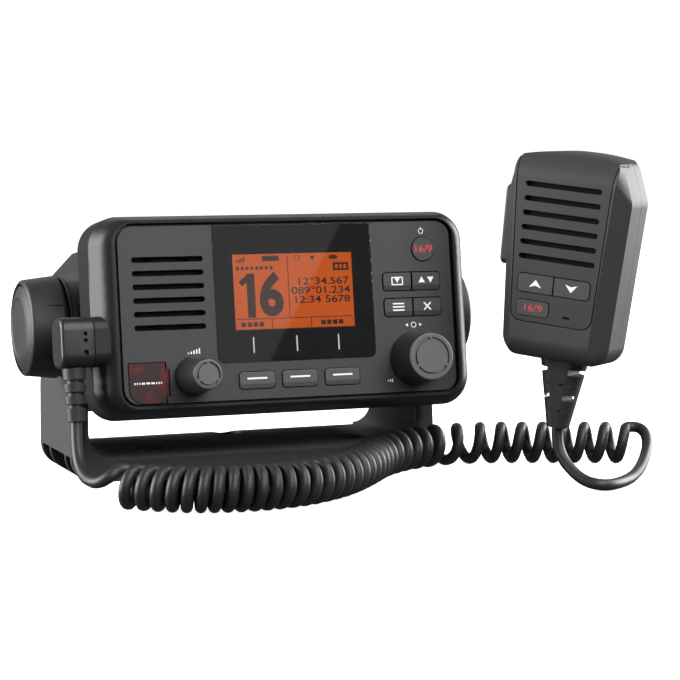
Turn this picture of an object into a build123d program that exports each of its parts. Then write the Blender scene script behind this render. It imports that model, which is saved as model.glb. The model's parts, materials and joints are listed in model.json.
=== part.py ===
from build123d import *
from math import pi, radians, sqrt, tan
import os

# Marine radio in a gimbal bracket with a corded fist microphone. Millimetres.
# +X is to the viewer's right, +Y runs back from the face, +Z is up. The origin is the
# centre of the bracket's underside. The radio is drawn level, with the centre of its face
# at zero and depth along +Y, and is then tilted about the clamp axis. The handset is drawn
# upright on the end of its cord boot, and is then turned and leaned into its place.

# ---- Driving dimensions: fits -------------------------------------------------------------
SEAT = 0.1            # seat of a piece that is fixed in a pocket
GAP = 0.3             # between pieces that move past each other
RUN = 0.05            # radial clearance of a shaft that turns or slides
TINY = 0.01           # tolerance for finding edges and keeping rounds short of a full half circle

# ---- Driving dimensions: bracket ----------------------------------------------------------
BRACKET_DEPTH = 53.5
ARM_HEAD_THICK = 7.5
ARM_FOOT_THICK = 8.4
ARM_DRAFT = 2.4       # degrees
BASE_THICK = 12.3
BASE_CORNER = 12.0    # outer lower corner
ARM_ROOT = 9.5        # inner fillet between arm and base
HEAD_RADIUS = 21.0
PIVOT_HEIGHT = 66.7
PIVOT_BACK = -10.25
ARM_REAR_REACH = 6.0  # how far the arm leans back past the base
ARM_REAR_HEIGHT = 41.0
FRONT_EDGE_ROUND = 3.5
BASE_REAR_ROUND = 8.0
CORNER_CORE_TOP = 11.2
CORNER_CORE_FLOOR = 1.4
CORNER_WEB = 2.6      # outer plates of the cored corners
CORNER_RIBS = (-15.3, 10.8)  # middle planes of the two inner ribs
CORNER_RIB = 2.0      # their thickness
CORE_FLOOR = 3.4      # what the pockets under the base leave
CORE_FRONT_RIM = 4.0
CORE_REAR_RIM = 6.0
CORE_RIB = 4.0        # ribs between the pockets under the base
SCREW_SPACING = 96.2
SCREW_BACK = -16.0    # front pair of screw holes
REAR_SCREW_BACK = 17.5
SCREW_HOLE = 2.6      # radius
SCREW_RECESS = 7.2    # radius
SCREW_RECESS_DEPTH = 6.0
SCREW_BOSS_WALL = 2.4

# ---- Driving dimensions: clamp knobs ------------------------------------------------------
STUD_RADIUS = 3.0
STUD_REACH = 9.0      # into the insert
WASHER_RADIUS = 12.0
WASHER_THICK = 1.0
KNOB_FLANGE = 21.8
KNOB_FLANGE_THICK = 1.3
KNOB_NECK = 18.0
KNOB_NECK_THICK = 1.5
KNOB_BACK = 22.3      # radius of the grip at the arm
KNOB_FRONT = 20.8     # radius of the grip at its outer rim
KNOB_LENGTH = 14.4
KNOB_BEVEL = 1.9
CAP_RADIUS = 18.4
CAP_SINK = 1.6
CAP_RISE = 2.2
CAP_DISH = 13.0       # radius of the shallow dish in the cap

# ---- Driving dimensions: radio ------------------------------------------------------------
TILT = 8.37           # degrees that the face leans back at rest
PIVOT_DEPTH = 60.6    # clamp axis behind the face, at the face's mid height
FACE_WIDTH = 170.0
FACE_HEIGHT = 85.0
BEZEL_DEPTH = 27.0
BEZEL_CORNER = 13.0
SHOULDER_DEPTH = 11.0
SHOULDER_SIDE = 8.2   # how far the left and right flanks run in to the front rim
SHOULDER_TOP = 4.2
SHOULDER_BULGE = 0.6  # share of the flank's curve that is round; the rest is a straight bevel
RIM_CORNER = 9.0
BEZEL_WALL = 3.0
PANEL_SIDE = 10.1     # the panel's edge inside the face's edge
PANEL_TOP = 5.7
PANEL_WIDTH = FACE_WIDTH - 2 * PANEL_SIDE
PANEL_HEIGHT = FACE_HEIGHT - 2 * PANEL_TOP
PANEL_RISE = 0.5      # the panel's centre above the face's centre
ACROSS = PANEL_WIDTH / 149.8  # the layout below is given for a panel of 149.8 by 73.6
UP = PANEL_HEIGHT / 73.6
PANEL_CORNER = 6.5
PANEL_SET = 0.8       # panel surface behind the bezel's front
PANEL_THICK = 2.5
RIM_GROOVE = 1.3      # gap round the panel
LEDGE_THICK = 2.0
LEDGE_REACH = 2.4     # how far the ledge runs under the panel
LEDGE_CORNER = 2.0

WINDOW_WIDTH = 71.5 * ACROSS
WINDOW_SHIFT = 1.95 * ACROSS  # window and LCD centre to the right of the face's centre
WINDOW_FOOT = -20.7 * UP
WINDOW_THICK = 1.6
WINDOW_PROUD = 0.2    # the window's face ahead of the panel's
WINDOW_CORNER = 3.0
LCD_WIDTH = 53.9 * ACROSS
LCD_HEIGHT = 31.8 * UP
LCD_RISE = 8.9 * UP
LCD_FRAME = 4.0
LCD_THICK = 3.6
LCD_OPENING = 3.0     # the panel's opening beyond the picture
LCD_PANE = 1.0        # the glass pane beyond the picture

SLOT_COUNT = 6
SLOT_LENGTH = 31.1 * ACROSS
SLOT_HEIGHT = 2.35
SLOT_PITCH = 5.65 * UP
SLOT_CENTRE = (-53.8 * ACROSS, 9.3 * UP)
SPEAKER_RADIUS = SLOT_LENGTH / 2 + 1.8
SPEAKER_MAGNET = 10.5
SPEAKER_MAGNET_THICK = 9.0
SPEAKER_BASKET = 6.8  # depth of the tapered basket
SPEAKER_EDGE = 1.5    # rim beyond the basket
SPEAKER_WALL = 1.0
SPEAKER_RIM = 1.2

KEY_TRAVEL = 0.8
KEY_PROUD = 0.6
KEY_CORNER = 1.5
KEY_LIP = 1.0         # retaining lip behind the panel
KEY_LIP_THICK = 1.1
KEY_SLOPE_HEIGHT = 2.0  # lower part of a key's face, which slopes away
KEY_SLOPE_DEPTH = 0.45
MAT_THICK = 1.0
MAT_PAD = 1.1
MAT_PAD_INSET = 1.8
MAT_NECK = 6.0        # strip of the mat between the upper keys and the soft keys
BOARD_THICK = 1.6
BOARD_CORNER = 7.0
ROUND_KEY_RADIUS = 5.2
ROUND_KEY_PLACE = (62.05 * ACROSS, 25.2 * UP)
PAIR_WIDTH = 26.4 * ACROSS
PAIR_HEIGHT = 7.5 * UP
PAIR_SPLIT = 0.8
UPPER_PAIR = (55.95 * ACROSS, 11.4 * UP)
LOWER_PAIR = (55.95 * ACROSS, 0.2 * UP)
SOFTKEY_WIDTH = 15.9 * ACROSS
SOFTKEY_HEIGHT = 7.1 * UP
SOFTKEY_PITCH = 19.3 * ACROSS
SOFTKEY_CENTRE = 2.25 * ACROSS
SOFTKEY_RISE = -28.4 * UP  # height of their centres

DISTRESS_PLACE = (-64.75 * ACROSS, -27.7 * UP)
DISTRESS_WIDTH = 15.9 * ACROSS
DISTRESS_HEIGHT = 16.8 * UP
DISTRESS_ROUND = 6.0
DISTRESS_THICK = 1.6
DISTRESS_PROUD = 0.4
DISTRESS_KEY = 8.0
DISTRESS_LIP_CORNER = 3.6
HINGE_PIN = 0.5
HINGE_BARREL = 0.9
HINGE_LENGTH = 11.0 * UP

SELECT_PLACE = (55.9 * ACROSS, -22.05 * UP)
SELECT_BACK = 11.8    # skirt radius
SELECT_FRONT = 10.1
SELECT_REACH = 17.0   # knob front ahead of the face
SELECT_RING = 8.2
SELECT_CAP = 6.9
VOLUME_PLACE = (-44.8 * ACROSS, -25.45 * UP)
VOLUME_BACK = 8.3
VOLUME_FRONT = 6.2
VOLUME_REACH = 18.8
VOLUME_RING = 5.2
VOLUME_CAP = 4.2
KNOB_PUSH = 0.6
KNOB_EDGE = 0.9       # rounded front edge
KNOB_HOLLOW = 6.0     # depth of the room inside the skirt
KNOB_SKIRT = 2.2      # wall of the skirt
KNOB_HUB = 2.0        # wall of the hub round the shaft
RING_DEPTH = 0.9
RING_BRIDGE = 1.2
RING_BRIDGES = (90, 210, 330)
SHAFT_RADIUS = 3.0
BUSH_WALL = 1.0
BUSH_PROUD = 1.2
CONTROL_SIZE = 13.0   # square body of a rotary control
CONTROL_WALL = 1.2
SHAFT_COLLAR = 3.9
COLLAR_THICK = 1.0
PLUNGER_RADIUS = 2.6
PLUNGER_LENGTH = 1.0
SHAFT_BEHIND_CAP = 6.0  # the shaft's front end behind the knob's front

HOUSING_WIDTH = FACE_WIDTH - 22.0
HOUSING_HEIGHT = FACE_HEIGHT - 11.0
HOUSING_BEVEL = 12.0
HOUSING_WALL = 2.6
HOUSING_BACK = 112.0  # rear face behind the radio's face
CAVITY_BACK = 96.0
FIN_BACK = 124.0
FIN_FOOT = 2.0        # height where the fins start
FIN_ROOT = 100.0
FIN_COUNT = 13
FIN_PITCH = (HOUSING_WIDTH - 20.6) / FIN_COUNT
FIN_THICK = 3.6
FLANGE_WIDTH = HOUSING_WIDTH + 3.0
FLANGE_THICK = 3.0
GASKET_THICK = 1.0
COVER_SCREW = (HOUSING_WIDTH / 2 - 2.0, HOUSING_HEIGHT / 2 - 3.5)
COVER_SCREW_RADIUS = 1.45
COVER_SCREW_LENGTH = 16.0
COVER_HEAD_RADIUS = 2.6
COVER_HEAD_THICK = 2.0
COVER_POST = 3.4
PIVOT_PAD = 15.0
PIVOT_PAD_THICK = 1.6
INSERT_RADIUS = 5.0
INSERT_LENGTH = 12.0
INSERT_BOSS = 8.5
MAIN_BOARD = (HOUSING_WIDTH - 28.0, 56.0)
MAIN_BOARD_FRONT = 34.0
MAIN_BOARD_HEIGHT = 25.0 - HOUSING_HEIGHT / 2
BOARD_POST = 3.0
AMPLIFIER = (0.3, 0.6, 7.0)    # shares of the board's width and length, and height
TRANSFORMER = (0.2, 0.3, 12.0)
REAR_PORT = (HOUSING_WIDTH / 2 - 32.0, 17.0 - HOUSING_HEIGHT / 2)
ANTENNA_RADIUS = 7.9
ANTENNA_LENGTH = 18.0
ANTENNA_PLATE = 25.0
ANTENNA_PLATE_THICK = 1.8
ANTENNA_BORE = 5.6
ANTENNA_CONTACT = 1.8
GLAND_BACK = 5.2
GLAND_RADIUS = 7.6
GLAND_LENGTH = 14.0
GLAND_FLANGE = 2.0
GLAND_BORE = 3.0

# ---- Driving dimensions: microphone plug and cord ------------------------------------------
PLUG_DEPTH = 17.0
PLUG_HEIGHT = 20.8
PLUG_CORNER = 5.5
PLUG_SET = 1.5        # plug front behind the radio's front
PLUG_RISE = -9.45
PLUG_SEAM = FACE_WIDTH / 2 + 1.1  # left end of the socket boss
PLUG_LENGTH = 13.9
PLUG_EDGE = 1.6
BOSS_LENGTH = 8.5
SOCKET_RADIUS = 6.2
SOCKET_BORE = 4.6
SOCKET_LENGTH = 11.0
SOCKET_FLOOR = 2.0
NOSE_LENGTH = 6.0
BOOT_TOP = 4.9        # radius at the plug
BOOT_FOOT = 4.0
BOOT_LENGTH = 22.0
BOOT_RING = 1.6       # height of each ring groove
BOOT_RING_DEPTH = 1.3
BOOT_RINGS = (0.22, 0.45, 0.68)  # shares of the length where the grooves start
BOOT_SETBACK = 8.8    # boot axis behind the radio's front
BOOT_SIDE = PLUG_SEAM + 7.6  # boot axis to the left of the radio's centre
CORD_RADIUS = 2.5
COIL_RADIUS = 9.6
ARC_SHARE = 0.45      # how much of a run its arc takes

# ---- Driving dimensions: handset -----------------------------------------------------------
HANDSET_PLACE = (105.9, -110.25, 26.1)
HANDSET_TURN = -53.0
HANDSET_LEAN = 5.8
HANDSET_FOOT = 29.5   # lower end of the case above the boot's end
HANDSET_TOP = 117.3
HANDSET_FRONT = -18.5
HANDSET_BACK = 11.5
FOOT_HALF = 24.2
SHOULDER_HALF = 28.4
SHOULDER_RISE = 99.0
TOP_HALF = 21.5
FACE_SHOULDER = (23.2, 107.0)  # half width and height of the shoulder in the case's face
FACE_TOP_HALF = 22.8
FACE_FOOT_HALF = 17.6
TOP_ARCH = 94.0       # radius of the arched top
FLANK_DEPTH = 7.0
REAR_FLANK_WIDTH = 4.0
REAR_FLANK_DEPTH = 7.0
OUTLINE_ROUND = 9.0
FACE_ROUND = 5.0
TOP_ROUND = 12.5
FOOT_ROUND = 9.0
REAR_ROUND = 5.0
SEAM_DEPTH = -1.5
CASE_WALL = 3.0
INSERT_THICK = 1.8
INSERT_TOP_HALF = 21.6
INSERT_FOOT_HALF = 18.2
INSERT_FOOT = 45.6
INSERT_ROUND = 4.5
INSERT_WRAP = -6.0    # where the insert ends on the top
INSERT_SLIT = 0.45    # dark gap round the insert
INSERT_LEDGE = 2.0
GRILLE_COUNT = 6
GRILLE_TOP = 102.8
GRILLE_PITCH = 6.05
GRILLE_LENGTH = 35.0
GRILLE_HEIGHT = 2.3
ROCKER_HEIGHT = 7.4
ROCKER_WIDTH = 32.8
ROCKER_RISE = 61.6
ROCKER_SPLIT = 0.7
CHANNEL_WIDTH = 14.6
CHANNEL_HEIGHT = 6.4
CHANNEL_PLACE = (-8.6, 51.2)
MIC_PLACE = (7.1, 49.2)
MIC_SLOT = (3.4, 1.0)
HANDSET_KEY_PROUD = 0.35
HANDSET_KEY_THICK = 3.4
HANDSET_KEY_LIP = 0.8
HANDSET_SPEAKER = 15.0
HANDSET_SPEAKER_THICK = 6.0
HANDSET_BOARD = (40.0, 70.0)
CAPSULE_RADIUS = 3.0
CAPSULE_LENGTH = 3.0
PTT_HEIGHT = 34.0
PTT_DEPTH = 8.4
PTT_RISE = 84.0
PTT_PROUD = 1.4
PTT_CORNER = 3.0
PTT_EDGE = 1.2        # rounded outer edge
PTT_LIP = 1.2
PTT_INNER = -24.0     # where the lever's lip starts inside the wall
STRAIN_TOP = (21.0, 13.0)
STRAIN_FOOT = 4.7
STRAIN_NOTCH = (5.5, 2.6)
STRAIN_NOTCHES = (0.83, 0.45)  # shares of the boot's height
STRAIN_SLITS = (0.64, 0.25)
STRAIN_SLIT = (1.2, 0.9)       # height and depth of a slit across the front and back
STRAIN_SLIT_BRIDGE = 2.4       # what stays between its two halves
HANG_HEAD = 6.5
HANG_NECK = 3.6
HANG_RISE = 80.0
HANG_NECK_LENGTH = 3.0
HANG_HEAD_THICK = 2.0
CASE_SCREW_RADIUS = 1.2
CASE_SCREW_HEAD = 2.2
CASE_SCREW_HEAD_THICK = 1.4
CASE_SCREW_SINK = 1.6
CASE_SCREW_LENGTH = 9.0
CASE_SCREW_WALL = 1.6
CASE_SCREW_HALF = 16.0
CASE_SCREW_RISES = (46.0, 104.0)

# ---- Cord routes in the part's frame: chosen by hand ---------------------------------------
# Straight tail from the plug's boot down to the start of the coil. Its first two runs are
# given from the boot's end.
TAIL_DROP = [(0.0, 0.0, 0.0), (0.0, -1.6, -10.8), (-1.1, -8.9, -21.3)]
TAIL_SWEEP = [
    (-93.5, -84.5, 10.5),
    (-87.5, -87.6, 16.7),
    (-82.74, -92.74, 16.7),
]
# Middle line of the coil, on the standing surface in front of the bracket.
COIL_ROUTE = [
    (-82.5, -93.0),
    (-69.5, -107.0),
    (-50.0, -117.0),
    (-27.5, -119.0),
    (-6.5, -112.8),
    (12.0, -99.6),
    (28.0, -82.0),
    (43.0, -61.5),
    (61.0, -46.3),
    (83.0, -37.6),
    (105.0, -39.6),
    (127.0, -48.2),
    (148.0, -56.6),
    (164.8, -64.2),
]
# Straight tail from the end of the coil, down, forwards and up into the handset's boot.
LOOP_ROUTE = [
    (164.8, -64.2, 16.7),
    (171.2, -67.1, 16.7),
    (169.8, -76.0, 12.0),
    (162.0, -86.5, 5.5),
    (148.5, -104.0, 2.6),
    (133.0, -121.5, 2.5),
    (117.5, -130.5, 2.6),
    (110.4, -121.0, 4.6),
    (105.3, -109.45, 16.1),
    HANDSET_PLACE,
]

# ---- Derived places ------------------------------------------------------------------------
ARM_GAP = HOUSING_WIDTH + 2 * (PIVOT_PAD_THICK + WASHER_THICK + GAP)
ARM_INNER = ARM_GAP / 2
ARM_OUTER = ARM_INNER + ARM_HEAD_THICK
ARM_FOOT_HALF = ARM_INNER + ARM_FOOT_THICK
BRACKET_FRONT = -BRACKET_DEPTH / 2
BRACKET_REAR = BRACKET_DEPTH / 2
PANEL_BACK = PANEL_SET + PANEL_THICK
LEDGE_BACK = PANEL_BACK + LEDGE_THICK
LIP_FRONT = PANEL_BACK + GAP
LIP_BACK = LIP_FRONT + KEY_LIP_THICK
KEY_FRONT = PANEL_SET - KEY_PROUD
WINDOW_FRONT = PANEL_SET - WINDOW_PROUD
WINDOW_BACK = WINDOW_FRONT + WINDOW_THICK
DISTRESS_FLOOR = DISTRESS_PROUD + DISTRESS_THICK + GAP
SOCKET_DEPTH = PLUG_SET + PLUG_DEPTH / 2
PAD_FRONT = LIP_BACK + KEY_TRAVEL + GAP
MAT_FRONT = PAD_FRONT + MAT_PAD
BOARD_FRONT = MAT_FRONT + MAT_THICK
HOUSING_FRONT = BEZEL_DEPTH + GASKET_THICK
FLANGE_BACK = HOUSING_FRONT + FLANGE_THICK
LEDGE_WIDTH = PANEL_WIDTH - 2 * LEDGE_REACH
LEDGE_HEIGHT = PANEL_HEIGHT - 2 * LEDGE_REACH
RADIO_PLACE = (Pos(0, PIVOT_BACK, PIVOT_HEIGHT) * Rot(-TILT, 0, 0) * Pos(0, -PIVOT_DEPTH, 0))
HANDSET_LOCATION = Pos(*HANDSET_PLACE) * Rot(0, 0, HANDSET_TURN) * Rot(0, HANDSET_LEAN, 0)
LOW = (Align.CENTER, Align.CENTER, Align.MIN)


# ---- Shared forms --------------------------------------------------------------------------
def back_prism(outline, front, depth):
    """Carries a front-view outline, drawn in X and Z, back from `front` by `depth`."""
    return Pos(0, front, 0) * extrude(Plane.XZ * outline, amount=-depth)


def side_prism(outline, left, length):
    """Carries a side-view outline, drawn in Y and Z, to the right from `left`."""
    return Pos(left, 0, 0) * extrude(Plane.YZ * outline, amount=length)


def plate(width, height, corner, front, depth, x=0.0, z=0.0):
    """Rounded rectangle seen from the front, carried back."""
    return back_prism(Pos(x, z) * RectangleRounded(width, height, corner), front, depth)


def rod_back(radius, front, length, x=0.0, z=0.0):
    """Round bar along +Y."""
    return Pos(x, front, z) * Rot(-90, 0, 0) * Cylinder(radius, length, align=LOW)


def cone_back(front_radius, back_radius, front, length, x=0.0, z=0.0):
    """Tapered round piece along +Y."""
    return Pos(x, front, z) * Rot(-90, 0, 0) * Cone(front_radius, back_radius, length, align=LOW)


def rod_right(radius, left, length, y=0.0, z=0.0):
    """Round bar along +X."""
    return Pos(left, y, z) * Rot(0, 90, 0) * Cylinder(radius, length, align=LOW)


def turned_right(profile):
    """Turns a half section of (x, radius) points about the X axis."""
    return revolve(make_face(Polyline(*profile, close=True)), Axis.X)


def mirrored(shape):
    """The same piece on the other side of the middle plane."""
    return mirror(shape, about=Plane.YZ)


def cord_tube(route, radius, name):
    """Tube along straight runs joined by tangent arcs, with its arc radii printed."""
    points = [Vector(*point) for point in route]
    runs = [after - before for before, after in zip(points, points[1:])]
    radii = []
    for before, after in zip(runs, runs[1:]):
        turn = before.get_angle(after)
        shorter = min(before.length, after.length)
        radii.append(ARC_SHARE * shorter / tan(radians(turn / 2)))
    path = FilletPolyline(*points, radius=radii)
    start = Plane(origin=path @ 0, z_dir=path % 0)
    tube = sweep(start * Circle(radius), path=path)
    expected = pi * radius**2 * path.length
    print(f"{name}: length {path.length:.1f} mm, volume / section x length {tube.volume / expected:.4f}")
    print("   arc radii in mm:", [round(value, 1) for value in radii])
    return tube


# ---- Bracket -------------------------------------------------------------------------------
def foot_outline():
    """Front view of the U: drafted arms on a base with rounded outer corners."""
    rise = PIVOT_HEIGHT + HEAD_RADIUS
    lean = tan(radians(ARM_DRAFT)) * (rise - CORNER_CORE_TOP)
    outer = ARM_FOOT_HALF
    outer_shape = Polygon(
        (-outer, 0), (outer, 0), (outer, CORNER_CORE_TOP), (outer - lean, rise),
        (lean - outer, rise), (-outer, CORNER_CORE_TOP), align=None,
    )
    corners = outer_shape.vertices().sort_by(Axis.Y)[:2]
    outer_shape = fillet(corners, BASE_CORNER * 0.9)
    opening = Polygon(
        (-ARM_INNER, BASE_THICK), (ARM_INNER, BASE_THICK),
        (ARM_INNER, rise + 1), (-ARM_INNER, rise + 1), align=None,
    )
    roots = opening.vertices().sort_by(Axis.Y)[:2]
    return outer_shape, fillet(roots, ARM_ROOT)


def arm_side_outline():
    """Side view of the arm: upright front edge, round head, rear edge that leans back."""
    rear_foot = BRACKET_REAR
    rear_top = BRACKET_REAR + ARM_REAR_REACH
    web = Polygon(
        (BRACKET_FRONT, 0), (rear_foot, 0), (rear_top, ARM_REAR_HEIGHT),
        (PIVOT_BACK + HEAD_RADIUS * 0.62, PIVOT_HEIGHT + HEAD_RADIUS * 0.78),
        (PIVOT_BACK, PIVOT_HEIGHT), (BRACKET_FRONT, PIVOT_HEIGHT - HEAD_RADIUS * 0.6), align=None,
    )
    rear_corner = web.vertices().sort_by(Axis.X)[-1]
    web = fillet(rear_corner, HEAD_RADIUS * 0.7)
    return web + Pos(PIVOT_BACK, PIVOT_HEIGHT) * Circle(HEAD_RADIUS)


def build_bracket():
    """One-piece U bracket: cored lower corners with ribs, cored base, screw holes."""
    outer_shape, opening = foot_outline()
    span = BRACKET_DEPTH + ARM_REAR_REACH + HEAD_RADIUS
    solid = back_prism(outer_shape, BRACKET_FRONT - HEAD_RADIUS, span + HEAD_RADIUS)
    wide = 2 * ARM_FOOT_HALF + 10
    solid &= side_prism(arm_side_outline(), -wide / 2, wide)
    for side in (-1, 1):
        head = rod_right(HEAD_RADIUS, ARM_INNER, ARM_HEAD_THICK, PIVOT_BACK, PIVOT_HEIGHT)
        solid += head if side > 0 else mirrored(head)
    solid -= back_prism(opening, BRACKET_FRONT - HEAD_RADIUS - 1, span + HEAD_RADIUS + 2)
    front_edges = solid.edges().filter_by_position(Axis.Y, BRACKET_FRONT - TINY, BRACKET_FRONT + TINY)
    inner_front = [
        edge for edge in front_edges
        if abs(edge.center().X) < ARM_INNER + TINY and edge.center().Z > BASE_THICK - TINY
    ]
    solid = fillet(inner_front, FRONT_EDGE_ROUND)
    solid -= base_rear_round()
    solid -= corner_pockets()
    solid -= base_pockets()
    for x, y in screw_places():
        recess = Pos(x, y, BASE_THICK - SCREW_RECESS_DEPTH) * Cylinder(SCREW_RECESS, BASE_THICK, align=LOW)
        solid -= recess
        solid -= Pos(x, y, -1) * Cylinder(SCREW_HOLE, BASE_THICK + 2, align=LOW)
    bore = rod_right(STUD_RADIUS + GAP, -ARM_OUTER - 1, 2 * ARM_OUTER + 2, PIVOT_BACK, PIVOT_HEIGHT)
    return solid - bore


def base_rear_round():
    """What the round on the base's rear upper edge takes away, between the arms."""
    rear = BRACKET_REAR + ARM_REAR_REACH * BASE_THICK / ARM_REAR_HEIGHT
    centre = (rear - BASE_REAR_ROUND, BASE_THICK - BASE_REAR_ROUND)
    square = Pos(centre[0] + BASE_REAR_ROUND, centre[1] + BASE_REAR_ROUND) * Rectangle(
        2 * BASE_REAR_ROUND, 2 * BASE_REAR_ROUND)
    section = square - Pos(*centre) * Circle(BASE_REAR_ROUND)
    half = ARM_INNER - ARM_ROOT
    return side_prism(section, -half, 2 * half)


def screw_places():
    """Centres of the three screw holes in the base."""
    half = SCREW_SPACING / 2
    return [(-half, SCREW_BACK), (half, SCREW_BACK), (0.0, REAR_SCREW_BACK)]


def corner_pockets():
    """Open pockets in the outer lower corners, between the front plate and two ribs."""
    inner = ARM_INNER - 1.0
    floor = CORNER_CORE_FLOOR
    pockets = None
    starts = [BRACKET_FRONT + CORNER_WEB, *(rib + CORNER_RIB / 2 for rib in CORNER_RIBS)]
    stops = [*(rib - CORNER_RIB / 2 for rib in CORNER_RIBS), BRACKET_REAR - CORNER_WEB]
    for start, stop in zip(starts, stops):
        size = (ARM_FOOT_HALF + 2 - inner, stop - start, CORNER_CORE_TOP - floor)
        for side in (-1, 1):
            centre = (side * (inner + size[0] / 2), (start + stop) / 2, floor + size[2] / 2)
            pocket = Pos(*centre) * Box(*size)
            pockets = pocket if pockets is None else pockets + pocket
    return pockets


def base_pockets():
    """Pockets under the base that leave a rim, ribs and the bosses of the screw holes."""
    depth = BASE_THICK - CORE_FLOOR
    front, rear = BRACKET_FRONT + CORE_FRONT_RIM, BRACKET_REAR - CORE_REAR_RIM
    outer = ARM_INNER - ARM_ROOT + CORNER_WEB
    rib = CORE_RIB / 2
    pockets = None
    columns = [(rib, outer / 2 - rib), (outer / 2 + rib, outer)]
    for left, right in columns:
        for start, stop in ((front, -rib), (rib, rear)):
            for side in (-1, 1):
                centre = (side * (left + right) / 2, (start + stop) / 2, depth / 2 - 0.5)
                pocket = Pos(*centre) * Box(right - left, stop - start, depth + 1)
                pockets = pocket if pockets is None else pockets + pocket
    for x, y in screw_places():
        boss = Cylinder(SCREW_RECESS + SCREW_BOSS_WALL, BASE_THICK + 4, align=LOW)
        pockets -= Pos(x, y, -2) * boss
    return pockets


# ---- Clamp knobs: drawn on the right, about the clamp axis -----------------------------------
def at_pivot(shape):
    """Moves a piece drawn on the X axis to the clamp axis."""
    return Pos(0, PIVOT_BACK, PIVOT_HEIGHT) * shape


def knob_stations():
    """X places of the knob's flange, neck, grip and outer rim."""
    flange = ARM_OUTER + GAP
    neck = flange + KNOB_FLANGE_THICK
    grip = neck + KNOB_NECK_THICK
    return flange, neck, grip, grip + KNOB_LENGTH


def build_clamp_knob():
    """Hand wheel: thin flange, neck, slightly flared grip, bevelled rim, seat for the cap."""
    flange, neck, grip, rim = knob_stations()
    profile = [
        (flange, 0), (flange, KNOB_FLANGE), (neck, KNOB_FLANGE), (neck, KNOB_NECK),
        (grip, KNOB_NECK), (grip, KNOB_BACK - 0.7), (grip + 0.7, KNOB_BACK), (rim, KNOB_FRONT),
        (rim + KNOB_BEVEL * 0.6, CAP_RADIUS + 0.5), (rim - CAP_SINK, CAP_RADIUS + 0.5),
        (rim - CAP_SINK, 0),
    ]
    solid = turned_right(profile)
    solid -= rod_right(STUD_RADIUS, flange - 1, KNOB_LENGTH)
    return at_pivot(solid)


def build_clamp_cap():
    """Domed cap with a shallow dish, seated in the knob's rim."""
    rim = knob_stations()[3]
    seat = rim - CAP_SINK
    profile = [
        (seat, 0), (seat, CAP_RADIUS), (rim + 0.4, CAP_RADIUS), (rim + CAP_RISE * 0.75, CAP_DISH + 2.4),
        (rim + CAP_RISE, CAP_DISH), (rim + CAP_RISE - 0.5, CAP_DISH - 0.8), (rim + CAP_RISE - 0.2, 0),
    ]
    return at_pivot(turned_right(profile))


def build_clamp_stud():
    """Steel stud from the knob through the arm and washer into the housing's insert."""
    tip = HOUSING_WIDTH / 2 + PIVOT_PAD_THICK - STUD_REACH
    flange = knob_stations()[0]
    return at_pivot(rod_right(STUD_RADIUS, tip, flange - 1 + KNOB_LENGTH - tip))


def build_friction_washers():
    """One rubber washer on the inner face of each arm."""
    ring = rod_right(WASHER_RADIUS, ARM_INNER - WASHER_THICK, WASHER_THICK)
    ring -= rod_right(STUD_RADIUS + GAP, ARM_INNER - WASHER_THICK - 1, WASHER_THICK + 2)
    ring = at_pivot(ring)
    return Compound([ring.solid(), mirrored(ring).solid()])


# ---- Radio: bezel and panel -------------------------------------------------------------------
def bezel_section(share):
    """Outline of the bezel at a share of the shoulder's depth: part quarter ellipse, part bevel."""
    rise = SHOULDER_BULGE * sqrt(1 - (1 - share) ** 2) + (1 - SHOULDER_BULGE) * share
    width = FACE_WIDTH - 2 * SHOULDER_SIDE * (1 - rise)
    height = FACE_HEIGHT - 2 * SHOULDER_TOP * (1 - rise)
    corner = RIM_CORNER + (BEZEL_CORNER - RIM_CORNER) * rise
    outline = Plane.XZ * RectangleRounded(width, height, corner)
    return (Pos(0, share * SHOULDER_DEPTH, 0) * outline).face()


def socket_section():
    """Side view of the microphone plug and of the boss that it meets."""
    return Pos(SOCKET_DEPTH, PLUG_RISE) * RectangleRounded(PLUG_DEPTH, PLUG_HEIGHT, PLUG_CORNER)


def cover_posts(radius, front, length):
    """Round bars at the four corner screws."""
    x, z = COVER_SCREW
    bars = [rod_back(radius, front, length, side * x, level * z) for side in (-1, 1) for level in (-1, 1)]
    return bars[0] + bars[1] + bars[2] + bars[3]


def build_front_bezel():
    """Hollow frame with curved flanks, a ledge for the panel, posts and the socket boss."""
    shares = (0.0, 0.1, 0.35, 1.0)
    shoulder = loft([bezel_section(share) for share in shares])
    skirt = plate(FACE_WIDTH, FACE_HEIGHT, BEZEL_CORNER, SHOULDER_DEPTH, BEZEL_DEPTH - SHOULDER_DEPTH)
    solid = shoulder + skirt
    solid += side_prism(socket_section(), -PLUG_SEAM, BOSS_LENGTH)
    opening_width = PANEL_WIDTH + 2 * RIM_GROOVE
    opening_height = PANEL_HEIGHT + 2 * RIM_GROOVE
    opening_corner = PANEL_CORNER + RIM_GROOVE
    solid -= plate(opening_width, opening_height, opening_corner, -1, PANEL_BACK + 1, z=PANEL_RISE)
    solid -= plate(LEDGE_WIDTH, LEDGE_HEIGHT, LEDGE_CORNER, 0, LEDGE_BACK + 1, z=PANEL_RISE)
    inner_width = FACE_WIDTH - 2 * (BEZEL_WALL + 2.0)
    inner_height = FACE_HEIGHT - 2 * BEZEL_WALL
    solid -= plate(inner_width, inner_height, BEZEL_CORNER - BEZEL_WALL, LEDGE_BACK, BEZEL_DEPTH)
    solid += cover_posts(COVER_POST, LEDGE_BACK, BEZEL_DEPTH - LEDGE_BACK)
    solid -= cover_posts(COVER_SCREW_RADIUS + RUN, BEZEL_DEPTH - COVER_SCREW_LENGTH, BEZEL_DEPTH)
    socket_reach = 2 * SOCKET_LENGTH
    return solid - rod_right(SOCKET_RADIUS, -PLUG_SEAM - 1, socket_reach, SOCKET_DEPTH, PLUG_RISE)


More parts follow.
